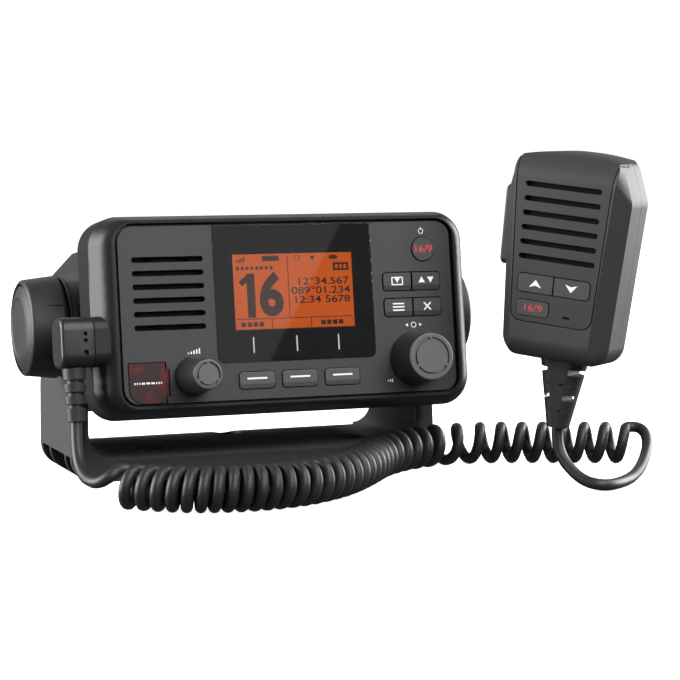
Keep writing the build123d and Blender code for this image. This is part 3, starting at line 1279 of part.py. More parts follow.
def build_hang_button():
    """Round button on the back that hangs the handset in its clip."""
    front = HANDSET_BACK - CASE_WALL
    neck_end = HANDSET_BACK + HANG_NECK_LENGTH
    solid = rod_back(HANG_NECK - RUN, front, neck_end - front, 0, HANG_RISE)
    return solid + cone_back(HANG_HEAD, HANG_HEAD - 0.8, neck_end, HANG_HEAD_THICK, 0, HANG_RISE)


def build_handset_boot():
    """Strain relief: flat at the case, round at the cord, with notches from both sides."""
    width, depth = STRAIN_TOP
    top = HANDSET_FOOT - SEAT
    upper = (Pos(0, 0, top) * RectangleRounded(width, depth, depth / 2 - 0.5)).face()
    lower = RectangleRounded(2 * STRAIN_FOOT, 2 * STRAIN_FOOT, STRAIN_FOOT - 0.5).face()
    solid = loft([lower, upper], ruled=True)
    notch_reach, notch_height = STRAIN_NOTCH
    for share in STRAIN_NOTCHES:
        half = STRAIN_FOOT + (width / 2 - STRAIN_FOOT) * share
        reach = notch_reach * (0.55 + share * 0.4)
        for side in (-1, 1):
            centre = side * (half - notch_reach / 2 + 0.5)
            solid -= Pos(centre, 0, share * top) * Box(reach, 2 * depth, notch_height)
    slit_height, slit_depth = STRAIN_SLIT
    for share in STRAIN_SLITS:
        half_depth = STRAIN_FOOT + (depth / 2 - STRAIN_FOOT) * share
        for side in (-1, 1):
            centre = side * (width + STRAIN_SLIT_BRIDGE) / 2
            for face in (-1, 1):
                slit = Box(width, 2 * slit_depth, slit_height)
                solid -= Pos(centre, face * half_depth, share * top) * slit
    return solid


# ---- The coil and tails ----------------------------------------------------------------------------
def build_cord_coil():
    """Outer shape of the curly cord where it lies on the standing surface."""
    route = [(x, y, COIL_RADIUS) for x, y in COIL_ROUTE]
    return cord_tube(route, COIL_RADIUS, "cord_coil")


def build_radio_tail():
    """Cord from the foot of the plug's boot to the start of the coil."""
    foot = PLUG_RISE - PLUG_HEIGHT / 2 - BOOT_LENGTH
    start = (RADIO_PLACE * Pos(-BOOT_SIDE, BOOT_SETBACK, foot)).position
    route = [tuple(start + Vector(*drop)) for drop in TAIL_DROP] + TAIL_SWEEP
    return cord_tube(route, CORD_RADIUS, "cord_tail_radio")


# ---- All sub-parts -----------------------------------------------------------------------------------
def radio_pieces():
    """Sub-parts that are drawn in the level radio's frame."""
    pieces = {
        "front_bezel": build_front_bezel(),
        "face_panel": build_face_panel(),
        "display_window": build_display_window(),
        "lcd_module": build_lcd_module(),
        "keypad_mat": build_keypad_mat(),
        "front_circuit_board": build_front_circuit_board(),
        "speaker": build_speaker(),
        "distress_cover": build_distress_cover(),
        "distress_hinge_pin": build_distress_hinge_pin(),
        "distress_key": build_distress_key(),
        "select_encoder": build_control(SELECT_PLACE),
        "select_plunger": build_plunger(SELECT_PLACE),
        "select_shaft": build_shaft(SELECT_PLACE, SELECT_REACH),
        "select_knob": build_knob(
            SELECT_PLACE, SELECT_REACH, SELECT_BACK, SELECT_FRONT, SELECT_RING, SELECT_CAP,
        ),
        "volume_control": build_control(VOLUME_PLACE),
        "volume_plunger": build_plunger(VOLUME_PLACE),
        "volume_shaft": build_shaft(VOLUME_PLACE, VOLUME_REACH),
        "volume_knob": build_knob(
            VOLUME_PLACE, VOLUME_REACH, VOLUME_BACK, VOLUME_FRONT, VOLUME_RING, VOLUME_CAP,
        ),
        "main_gasket": build_main_gasket(),
        "rear_housing": build_rear_housing(),
        "main_circuit_board": build_main_circuit_board(),
        "housing_screws": build_housing_screws(),
        "pivot_inserts": build_pivot_inserts(),
        "antenna_connector": build_antenna_connector(),
        "power_cable_gland": build_cable_gland(),
        "mic_socket": build_mic_socket(),
        "plug_body": build_plug_body(),
        "plug_boot": build_plug_boot(),
    }
    for name, spec in panel_keys().items():
        pieces[name] = build_key(spec)
    return pieces


def handset_pieces():
    """Sub-parts that are drawn in the upright handset's frame."""
    pieces = {
        "handset_front_shell": build_handset_front_shell(),
        "handset_rear_shell": build_handset_rear_shell(),
        "handset_face_insert": build_face_insert(),
        "handset_speaker": build_handset_speaker(),
        "handset_circuit_board": build_handset_board(),
        "microphone_capsule": build_capsule(),
        "handset_screws": build_handset_screws(),
        "handset_hang_button": build_hang_button(),
        "handset_boot": build_handset_boot(),
        "ptt_lever": build_ptt_lever(),
    }
    for name, spec in handset_keys().items():
        pieces[name] = build_handset_key(spec)
    return pieces


def standing_pieces():
    """Sub-parts that are drawn in place."""
    knob, cap, stud = build_clamp_knob(), build_clamp_cap(), build_clamp_stud()
    return {
        "mounting_bracket": build_bracket(),
        "friction_washers": build_friction_washers(),
        "clamp_knob_right": knob,
        "clamp_knob_left": mirrored(knob),
        "clamp_cap_right": cap,
        "clamp_cap_left": mirrored(cap),
        "clamp_stud_right": stud,
        "clamp_stud_left": mirrored(stud),
        "cord_tail_radio": build_radio_tail(),
        "cord_coil": build_cord_coil(),
        "cord_tail_handset": cord_tube(LOOP_ROUTE, CORD_RADIUS, "cord_tail_handset"),
    }


def main():
    """Builds every sub-part, puts it in place and writes it."""
    os.makedirs("parts", exist_ok=True)
    pieces = standing_pieces()
    pieces.update({name: RADIO_PLACE * shape for name, shape in radio_pieces().items()})
    pieces.update({name: HANDSET_LOCATION * shape for name, shape in handset_pieces().items()})
    for name, shape in pieces.items():
        export_step(shape, f"parts/{name}.step")
    print(len(pieces), "sub-parts")


main()
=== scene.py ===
"""A marine radio in its gimbal bracket, with a corded fist microphone, dressed for a studio view.

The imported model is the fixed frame. Its solids are copied, merged, softened and given finishes.
The display, legends, curly cord and small fittings are modelled here. Sizes are in millimetres
and become metres where a mesh is made.
"""
import json
import logging
import math
from contextlib import contextmanager
from dataclasses import dataclass
from enum import Enum
from typing import Iterator

import bpy
from mathutils import Matrix, Quaternion, Vector


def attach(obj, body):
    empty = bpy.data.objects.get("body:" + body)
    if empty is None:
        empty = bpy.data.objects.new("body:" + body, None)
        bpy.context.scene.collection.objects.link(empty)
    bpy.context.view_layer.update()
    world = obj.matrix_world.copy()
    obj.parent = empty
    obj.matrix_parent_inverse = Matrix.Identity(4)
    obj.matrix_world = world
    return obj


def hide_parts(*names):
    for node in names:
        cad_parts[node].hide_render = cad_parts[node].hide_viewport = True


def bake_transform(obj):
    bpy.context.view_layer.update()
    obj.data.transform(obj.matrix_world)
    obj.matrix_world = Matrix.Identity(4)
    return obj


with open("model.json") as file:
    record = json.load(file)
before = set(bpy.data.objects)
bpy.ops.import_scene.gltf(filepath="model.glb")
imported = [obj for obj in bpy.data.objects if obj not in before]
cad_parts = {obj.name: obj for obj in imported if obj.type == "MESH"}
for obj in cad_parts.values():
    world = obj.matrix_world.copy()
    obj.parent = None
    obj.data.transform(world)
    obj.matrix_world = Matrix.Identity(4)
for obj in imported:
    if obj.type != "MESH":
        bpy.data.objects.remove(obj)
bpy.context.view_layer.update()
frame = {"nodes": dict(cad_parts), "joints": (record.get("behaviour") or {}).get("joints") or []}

logging.basicConfig(level=logging.INFO, format="%(message)s")
LOG = logging.getLogger("marine_radio")

Piece = bpy.types.Object
Pair = tuple[float, float]
Triple = tuple[float, float, float]
Four = tuple[float, float, float, float]

MM = 0.001
CAD_NODES: dict[str, Piece] = frame["nodes"]
PIVOT = Vector(next(joint["pos_m"] for joint in frame["joints"] if joint["name"] == "gimbal_tilt"))

TILT = math.radians(8.37)
PIVOT_DEPTH = 60.6 * MM
HANDSET_PLACE = Vector((105.9, -110.25, 26.1)) * MM
HANDSET_TURN = math.radians(-53.0)
HANDSET_LEAN = math.radians(5.8)
FACING_FRONT = Matrix.Rotation(math.radians(90.0), 4, "X")
ALONG_DEPTH = (math.radians(-90.0), 0.0, 0.0)
ALONG_WIDTH = (0.0, math.radians(90.0), 0.0)

MERGE_DISTANCE = 0.002 * MM
FLAT_ANGLE = math.radians(0.6)
LEGEND_THICK = 0.06
CLOTH_THICK = 0.08
RECESS_DEEP = 2.0
EDGE_SEGMENTS = 2
NORMAL_WEIGHT = 100


class Place(Enum):
    """A frame in which pieces are drawn in millimetres before they are put in place."""

    RADIO = "radio"
    HANDSET = "handset"

    @property
    def matrix(self) -> Matrix:
        """Matrix from this frame to the model's frame.

        Returns:
            The matrix, in metres.
        """
        if self is Place.RADIO:
            tilt = Matrix.Rotation(-TILT, 4, "X")
            return Matrix.Translation(PIVOT) @ tilt @ Matrix.Translation((0, -PIVOT_DEPTH, 0))
        turn = Matrix.Rotation(HANDSET_TURN, 4, "Z") @ Matrix.Rotation(HANDSET_LEAN, 4, "Y")
        return Matrix.Translation(HANDSET_PLACE) @ turn


class Softness(Enum):
    """Edge radius of a machined, moulded or pressed piece, in metres."""

    CRISP = 0.12 * MM
    MOULDED = 0.3 * MM
    ROUNDED = 0.55 * MM


CRISP, MOULDED, ROUNDED = Softness


# ---- Finishes


@dataclass(frozen=True)
class Finish:
    """A surface finish: colour, gloss and the grain that the mould or the cast leaves."""

    name: str
    colour: Triple
    roughness: float
    metallic: float = 0.0
    grain: float = 0.35
    grain_height: float = 0.0
    mottling: float = 0.05
    glow: float = 0.0
    clear: float = 0.0
    specular: float = 0.4
    patches: Triple | None = None
    refraction: float = 1.49
    mottle_scale: float = 55.0
    mottle_detail: float = 3.0
    grain_detail: float = 2.0
    patch_scale: float = 160.0
    patch_detail: float = 1.0
    patch_range: Pair = (0.48, 0.74)
    bump_strength: float = 0.6

    def material(self) -> bpy.types.Material:
        """The finish as a node material, made once.

        Returns:
            The material, with its patterns on Object coordinates.
        """
        known = bpy.data.materials.get(self.name)
        if known is not None:
            return known
        material = bpy.data.materials.new(self.name)
        material.use_nodes = True
        tree = material.node_tree
        values = {
            "Base Color": (*self.colour, 1.0),
            "Metallic": self.metallic,
            "Roughness": self.roughness,
            "Specular IOR Level": self.specular,
            "Transmission Weight": self.clear,
        }
        if self.clear:
            values["IOR"] = self.refraction
        if self.glow:
            values |= {"Emission Color": (*self.colour, 1.0), "Emission Strength": self.glow}
        for socket, value in values.items():
            tree.nodes["Principled BSDF"].inputs[socket].default_value = value
        if self.mottling:
            spread = tree.nodes.new("ShaderNodeMapRange")
            spread.inputs["To Min"].default_value = max(0.0, self.roughness - self.mottling)
            spread.inputs["To Max"].default_value = min(1.0, self.roughness + self.mottling)
            self.pattern(tree, self.mottle_scale, self.mottle_detail, spread, "Value", "Roughness")
        if self.grain_height:
            bump = tree.nodes.new("ShaderNodeBump")
            bump.inputs["Strength"].default_value = self.bump_strength
            bump.inputs["Distance"].default_value = self.grain_height * MM
            self.pattern(tree, 1.0 / (self.grain * MM), self.grain_detail, bump, "Height", "Normal")
        if self.patches is not None:
            ramp = tree.nodes.new("ShaderNodeValToRGB")
            ends = zip(ramp.color_ramp.elements, self.patch_range, (self.colour, self.patches))
            for element, position, colour in ends:
                element.position = position
                element.color = (*colour, 1.0)
            self.pattern(tree, self.patch_scale, self.patch_detail, ramp, "Fac", "Base Color")
        return material

    @staticmethod
    def pattern(
        tree: bpy.types.NodeTree, scale: float, detail: float, shape: bpy.types.Node, inlet: str, target: str
    ) -> None:
        """Drives a socket of the shader by noise on the piece, through a shaping node.

        Args:
            tree: the material's nodes.
            scale: spots of the noise to the metre.
            detail: its octaves.
            shape: the node between the noise and the shader.
            inlet: the socket of that node that takes the noise.
            target: the shader's socket.
        """
        noise = tree.nodes.new("ShaderNodeTexNoise")
        noise.inputs["Scale"].default_value = scale
        noise.inputs["Detail"].default_value = detail
        tree.links.new(tree.nodes.new("ShaderNodeTexCoord").outputs["Object"], noise.inputs["Vector"])
        tree.links.new(noise.outputs["Fac"], shape.inputs[inlet])
        tree.links.new(shape.outputs[0], tree.nodes["Principled BSDF"].inputs[target])


BRACKET_PLASTIC = Finish("bracket_plastic", (0.045, 0.045, 0.046), 0.55, grain_height=0.02)
BEZEL_PLASTIC = Finish("bezel_plastic", (0.013, 0.013, 0.0135), 0.42, grain_height=0.012, specular=0.25)
PANEL_PLASTIC = Finish("panel_plastic", (0.032, 0.032, 0.033), 0.52, grain_height=0.02)
KNOB_PLASTIC = Finish("knob_plastic", (0.024, 0.024, 0.025), 0.5, grain_height=0.015)
CAP_PLASTIC = Finish("cap_plastic", (0.022, 0.022, 0.023), 0.52, grain_height=0.015)
CASE_PLASTIC = Finish("case_plastic", (0.032, 0.032, 0.0325), 0.55, grain_height=0.03)
INSERT_PLASTIC = Finish("insert_plastic", (0.032, 0.032, 0.0325), 0.5, grain_height=0.015, specular=0.3)
PLUG_PLASTIC = Finish("plug_plastic", (0.016, 0.016, 0.017), 0.4, grain_height=0.012)
ROTARY_PLASTIC = Finish("rotary_plastic", (0.026, 0.026, 0.027), 0.42, grain_height=0.01)
# Painted highlight: the lighter colour of the knobs' forward-facing front faces.
ROTARY_FRONT_HIGHLIGHT = Finish("rotary_front_painted_highlight", (0.11, 0.11, 0.112), 0.5, grain_height=0.015)
KEY_SILICONE = Finish("key_silicone", (0.042, 0.042, 0.044), 0.55)
SOFT_KEY_SILICONE = Finish("soft_key_silicone", (0.068, 0.068, 0.07), 0.5)
MAT_SILICONE = Finish("keypad_silicone", (0.08, 0.08, 0.085), 0.6)
DARK_RUBBER = Finish("dark_rubber", (0.026, 0.026, 0.027), 0.5)
CORD_JACKET = Finish("cord_jacket", (0.018, 0.018, 0.0185), 0.46, mottling=0.04)
WINDOW_ACRYLIC = Finish("window_acrylic", (0.97, 0.97, 0.98), 0.02, clear=1.0, mottling=0.0, specular=0.5)
WINDOW_PRINT = Finish("window_print", (0.003, 0.003, 0.003), 0.6, mottling=0.0, specular=0.1)
LCD_BACKLIGHT = Finish("lcd_backlight", (0.26, 0.041, 0.001), 0.6, glow=0.85, mottling=0.0, specular=0.1)
LCD_SEGMENT = Finish("lcd_segment", (0.03, 0.012, 0.006), 0.7, mottling=0.0, specular=0.1)
LCD_FRAME_METAL = Finish("lcd_frame_metal", (0.2, 0.2, 0.21), 0.4, metallic=1.0)
COVER_RED = Finish("flap_acrylic", (0.04, 0.022, 0.022), 0.2, mottling=0.04, patches=(0.15, 0.016, 0.02))
SILICONE_RED = Finish("silicone_red", (0.3, 0.012, 0.012), 0.5)
# White and red print, each with a painted glow: they give off light of their own, though they are no lamp.
PRINT_WHITE_PAINTED_GLOW = Finish("print_white_painted_glow", (0.7, 0.7, 0.7), 0.5, glow=0.3, mottling=0.0)
PRINT_RED_PAINTED_GLOW = Finish("print_red_painted_glow", (0.4, 0.03, 0.034), 0.5, glow=0.35, mottling=0.0)
# Near-black speaker cloth. On the sheets behind the grille slots it is also painted shade: they are made
# this dark so the slots read shaded.
SPEAKER_CLOTH_AND_SHADE = Finish("speaker_cloth_and_shade", (0.005, 0.005, 0.005), 0.9, specular=0.1)
# Green solder mask, darkened to near-black as painted shade so the boards read shaded through the slots.
BOARD_MASK_AND_SHADE = Finish("board_mask_and_shade", (0.006, 0.04, 0.015), 0.4)
HOUSING_COAT = Finish("housing_coat", (0.022, 0.022, 0.024), 0.5, grain=0.7, grain_height=0.06)
STEEL = Finish("steel", (0.56, 0.57, 0.59), 0.3, metallic=1.0)
DARK_STEEL = Finish("dark_steel", (0.05, 0.05, 0.052), 0.4, metallic=1.0)
BRASS = Finish("brass", (0.72, 0.5, 0.2), 0.32, metallic=1.0)
NICKEL = Finish("nickel", (0.62, 0.61, 0.58), 0.22, metallic=1.0)
FLOOR_WHITE = Finish("floor_white", (0.9, 0.9, 0.9), 0.85, glow=1.02, mottling=0.0)


# ---- Modelling steps that every sub-assembly uses


def clear() -> None:
    """Leaves edit mode and deselects everything."""
    if bpy.context.object is not None and bpy.context.object.mode != "OBJECT":
        bpy.ops.object.mode_set(mode="OBJECT")
    bpy.ops.object.select_all(action="DESELECT")


def focus(piece: Piece) -> None:
    """Makes one object the only selected and the active one.

    Args:
        piece: the object.
    """
    clear()
    piece.select_set(True)
    bpy.context.view_layer.objects.active = piece


@contextmanager
def edit(piece: Piece) -> Iterator[None]:
    """Opens a piece in edit mode with all of it selected.

    Args:
        piece: the mesh object.

    Returns:
        A context that ends in object mode.
    """
    focus(piece)
    bpy.ops.object.mode_set(mode="EDIT")
    bpy.ops.mesh.select_all(action="SELECT")
    yield
    bpy.ops.object.mode_set(mode="OBJECT")


def take() -> Piece:
    """The object that the last operator made."""
    return bpy.context.view_layer.objects.active


def apply_place(piece: Piece) -> Piece:
    """Applies a piece's place, turn and size to its mesh.

    Args:
        piece: the piece.

    Returns:
        The same piece.
    """
    focus(piece)
    bpy.ops.object.transform_apply(location=True, rotation=True, scale=True)
    return piece


def modify(piece: Piece, kind: str, **settings: object) -> None:
    """Adds a modifier to a piece and applies it.

    Args:
        piece: the mesh object.
        kind: the modifier's type.
        settings: values of its properties.
    """
    focus(piece)
    modifier = piece.modifiers.new(kind.lower(), kind)
    for name, value in settings.items():
        setattr(modifier, name, value)
    bpy.ops.object.modifier_apply(modifier=modifier.name)


def smooth(piece: Piece, degrees: float) -> None:
    """Shades faces smooth where they meet at less than an angle."""
    focus(piece)
    bpy.ops.object.shade_smooth_by_angle(angle=math.radians(degrees))


def cut(piece: Piece, cutter: Piece) -> None:
    """Takes a cutter away from a piece and removes the cutter."""
    modify(piece, "BOOLEAN", object=cutter, operation="DIFFERENCE", solver="EXACT")
    bpy.data.objects.remove(cutter)


def join(pieces: list[Piece], name: str) -> Piece:
    """Joins pieces into one mesh.

    Args:
        pieces: the pieces, of which the first one stays.
        name: name of the whole.

    Returns:
        The joined piece.
    """
    clear()
    for piece in pieces:
        piece.select_set(True)
    bpy.context.view_layer.objects.active = pieces[0]
    if len(pieces) > 1:
        bpy.ops.object.join()
    joined = take()
    joined.name = name
    return joined


def seat(piece: Piece, place: Place) -> Piece:
    """Moves a piece from the frame that it was drawn in to where that frame lies.

    Args:
        piece: the piece.
        place: the frame that it was drawn in.

    Returns:
        The same piece, with its place in its mesh.
    """
    bpy.context.view_layer.update()
    piece.matrix_world = place.matrix @ piece.matrix_world
    return apply_place(piece)


def shift_to(spot: Triple) -> Matrix:
    """Moves the origin to a spot, given as x, z and depth."""
    x, z, depth = spot
    return Matrix.Translation(Vector((x, depth, z)) * MM)


def turn_in_plane(piece: Piece, degrees: float, spot: Triple) -> Piece:
    """Turns a piece drawn at the origin in the plane of the front, then moves it to a spot."""
    piece.matrix_world = shift_to(spot) @ Matrix.Rotation(math.radians(degrees), 4, "Y") @ piece.matrix_basis
    return piece


def stand_up(piece: Piece, spot: Triple, shape: Matrix = Matrix()) -> Piece:
    """Shapes a piece that lies flat, then stands it up at a spot to face the front."""
    piece.matrix_world = shift_to(spot) @ FACING_FRONT @ shape
    return piece


def thicken(piece: Piece) -> Piece:
    """Gives a flat piece the thickness of a legend."""
    modify(piece, "SOLIDIFY", thickness=LEGEND_THICK * MM, offset=0.0)
    return piece


def bars(rows: list[Four], depth: float, thickness: float = LEGEND_THICK) -> list[Piece]:
    """Flat bars that face the front.

    Args:
        rows: width, height, x and z of each.
        depth: depth of their front surface.
        thickness: size along the depth.

    Returns:
        The bars.
    """
    made = []
    for width, height, x, z in rows:
        centre = Vector((x, depth + thickness / 2, z)) * MM
        size = (width * MM, thickness * MM, height * MM)
        bpy.ops.mesh.primitive_cube_add(size=1.0, location=centre, scale=size)
        made.append(take())
    return made


@dataclass(frozen=True)
class BarRow:
    """Bars side by side, all alike or each taller than the one before."""

    count: int
    width: float
    height: float
    pitch: float
    growth: float = 0.0
    level_feet: bool = True

    def rows(self, x: float, z: float) -> list[Four]:
        """Width, height, x and z of each bar.

        Args:
            x: middle of the first bar.
            z: height of its middle.

        Returns:
            One row for each bar.
        """
        lift = self.growth / 2 if self.level_feet else 0.0
        steps = range(self.count)
        return [(self.width, self.height + self.growth * n, x + self.pitch * n, z + lift * n) for n in steps]


def triangle(size: float, spot: Triple, points_up: bool = True) -> Piece:
    """A flat triangle that faces the front.

    Args:
        size: radius round its corners.
        spot: x, z and depth of its middle.
        points_up: whether it points up or down.

    Returns:
        The triangle.
    """
    bpy.ops.mesh.primitive_circle_add(vertices=3, radius=size * MM, fill_type="NGON")
    turn = Matrix.Rotation(0.0 if points_up else math.pi, 4, "Z")
    return thicken(stand_up(take(), spot, turn))


def ring(radius: float, width: float, spot: Triple, sides: int = 32) -> Piece:
    """A flat ring that faces the front, made from an inset disc.

    Args:
        radius: outer radius.
        width: width of its band.
        spot: x, z and depth of its middle.
        sides: corners round it.

    Returns:
        The ring.
    """
    bpy.ops.mesh.primitive_circle_add(vertices=sides, radius=radius * MM, fill_type="NGON")
    piece = take()
    with edit(piece):
        bpy.ops.mesh.inset(thickness=width * MM)
        bpy.ops.mesh.delete(type="FACE")
    return thicken(stand_up(piece, spot))


def lettering(text: str, size: float, spot: Triple, stretch: float, weight: float) -> Piece:
    """Raised digits that face the front.

    Args:
        text: the digits.
        size: height of the type.
        spot: x, z and depth of the middle of the type.
        stretch: width of the type over its normal width.
        weight: how much the strokes grow on each side.

    Returns:
        The digits as a mesh.
    """
    bpy.ops.object.text_add()
    piece = take()
    type_settings = piece.data
    type_settings.body = text
    type_settings.size = size * MM
    type_settings.align_x = type_settings.align_y = "CENTER"
    type_settings.offset = weight * MM
    type_settings.extrude = LEGEND_THICK * MM / 2
    type_settings.resolution_u = 4
    focus(piece)
    bpy.ops.object.convert(target="MESH")
    return stand_up(take(), spot, Matrix.Diagonal((stretch, 1.0, 1.0, 1.0)))


def cut_cross(screws: Piece, spot: Triple, size: Pair, place: Place) -> None:
    """Cuts a cross recess into the head of a screw.

    Args:
        screws: the piece with the screw.
        spot: x, z and depth of the recess's floor.
        size: length and width of the recess's arms.
        place: the frame that the screw is measured in.
    """
    x, z, depth = spot
    for cutter in bars([(*size, x, z), (*size[::-1], x, z)], depth, RECESS_DEEP):
        cut(screws, seat(cutter, place))


@dataclass(frozen=True)
class Dress:
    """How a piece is dressed: its finish, a slot name that is not used, and what happens to its edges."""

    finish: Finish
    slot: str
    softness: Softness | None = None
    smooth_below: float = 32.0
    round_above: float = 35.0

    def copy(self, node: str) -> Piece:
        """Copies a CAD node, merges its loose triangles, shades it and rounds its edges.

        Args:
            node: name of the CAD node that the copy replaces.

        Returns:
            The copy.
        """
        piece = bpy.data.objects.new(f"{node}_finished", CAD_NODES[node].data.copy())
        bpy.context.scene.collection.objects.link(piece)
        with edit(piece):
            bpy.ops.mesh.remove_doubles(threshold=MERGE_DISTANCE)
            bpy.ops.mesh.dissolve_limited(angle_limit=FLAT_ANGLE)
        smooth(piece, self.smooth_below)
        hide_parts(node)
        if self.softness is not None:
            modify(
                piece,
                "BEVEL",
                width=self.softness.value,
                segments=EDGE_SEGMENTS,
                limit_method="ANGLE",
                angle_limit=math.radians(self.round_above),
                use_clamp_overlap=True,
            )
            modify(piece, "WEIGHTED_NORMAL", keep_sharp=True, weight=NORMAL_WEIGHT)
        return piece

    def hand_over(self, piece: Piece, body: str) -> Piece:
        """Paints a finished piece and lets it ride on its body.

        Args:
            piece: the finished object.
            body: the CAD body that carries it.

        Returns:
            The same object.
        """
        piece.data.materials.clear()
        piece.data.materials.append(self.finish.material())
        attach(piece, body)
        LOG.info("%-30s on %-22s %6d faces", piece.name, body, len(piece.data.polygons))
        return piece

    def dress(self, node: str, body: str = "radio") -> Piece:
        """Copies a CAD node and hands the copy over."""
        return self.hand_over(self.copy(node), body)

    def lay(self, pieces: list[Piece], name: str, body: str = "radio", place: Place = Place.RADIO) -> None:
        """Joins pieces that were drawn in one frame, seats them and hands them over."""
        self.hand_over(seat(join(pieces, name), place), body)


KEY = Dress(KEY_SILICONE, "key_rubber", MOULDED)
KEY_SIGN = Dress(PRINT_WHITE_PAINTED_GLOW, "key_rubber")
KEY_DIGITS = Dress(PRINT_RED_PAINTED_GLOW, "key_rubber")
# Near-black speaker cloth; on the sheets behind the grilles it is also painted shade.
SCREW = Dress(STEEL, "screw_steel")
CLOTH = Dress(SPEAKER_CLOTH_AND_SHADE, "speaker_black")
PANEL_SIGN = Dress(PRINT_WHITE_PAINTED_GLOW, "panel_black")


def dress_nodes(body: str, table: dict[str, Dress]) -> None:
    """Copies and dresses the CAD nodes of a table on one body."""
    for node, dress in table.items():
        dress.dress(node, body)


# ---- Bracket and clamp knobs


@dataclass
class GimbalBracket:
    """The moulded U bracket with its washers."""

    body: str = "bracket"

    def build(self) -> None:
        """Softens and paints the bracket and its washers."""
        dress_nodes(
            self.body,
            {
                "mounting_bracket": Dress(BRACKET_PLASTIC, "bracket_black", ROUNDED, 28.0, 40.0),
                "friction_washers": Dress(DARK_RUBBER, "washer_rubber"),
            },
        )


@dataclass
class ClampKnob:
    """One hand wheel of the gimbal, with its cap and stud."""

    side: str
    wheel_dress: Dress = Dress(KNOB_PLASTIC, "knob_grey", ROUNDED, 24.0, 50.0)
    cap_dress: Dress = Dress(CAP_PLASTIC, "knob_cap_grey", MOULDED, 24.0, 24.0)
    stud_dress: Dress = Dress(STEEL, "stud_steel", CRISP)
    cap_rise: float = 2.2
    groove_radius: float = 18.7
    groove_width: float = 0.55
    groove_sides: tuple[int, int] = (72, 8)
    grip_radius: float = 21.8
    grip_marks: int = 6
    grip_size: Triple = (8.5, 1.1, 0.55)
    grip_middle: float = 8.6

    def build(self) -> None:
        """Softens, grooves and paints the wheel and its cap, and paints its stud."""
        body = f"clamp_{self.side}"
        wheel = self.wheel_dress.copy(f"clamp_knob_{self.side}")
        cap = self.cap_dress.copy(f"clamp_cap_{self.side}")
        outer = max((vertex.co.x for vertex in cap.data.vertices), key=abs)
        rim = outer - math.copysign(self.cap_rise * MM, outer)
        for piece in (wheel, cap):
            cut(piece, self.groove(rim))
        for mark in range(self.grip_marks):
            cut(wheel, self.grip(rim - math.copysign(self.grip_middle * MM, rim), mark))
        self.wheel_dress.hand_over(wheel, body)
        self.cap_dress.hand_over(cap, body)
        self.stud_dress.dress(f"clamp_stud_{self.side}", body)

    def groove(self, rim: float) -> Piece:
        """A cutter for the ring groove between wheel and cap.

        Args:
            rim: X of the wheel's outer rim in metres.

        Returns:
            The cutter.
        """
        bpy.ops.mesh.primitive_torus_add(
            location=(rim, PIVOT.y, PIVOT.z),
            rotation=ALONG_WIDTH,
            major_radius=self.groove_radius * MM,
            minor_radius=self.groove_width * MM,
            major_segments=self.groove_sides[0],
            minor_segments=self.groove_sides[1],
        )
        return take()

    def grip(self, middle: float, mark: int) -> Piece:
        """A cutter for one of the short grooves round the wheel's grip.

        Args:
            middle: X of the groove's middle in metres.
            mark: its number, counted round the wheel.

        Returns:
            The cutter.
        """
        bpy.ops.mesh.primitive_cube_add(size=1.0)
        cutter = take()
        turn = Matrix.Rotation(math.radians(360.0 * (mark + 0.5) / self.grip_marks), 4, "X")
        shift = Matrix.Translation((0.0, -self.grip_radius * MM, 0.0))
        size = Matrix.Diagonal((*(side * MM for side in self.grip_size), 1.0))
        cutter.matrix_world = Matrix.Translation((middle, PIVOT.y, PIVOT.z)) @ turn @ shift @ size
        return apply_place(cutter)


# ---- Radio case


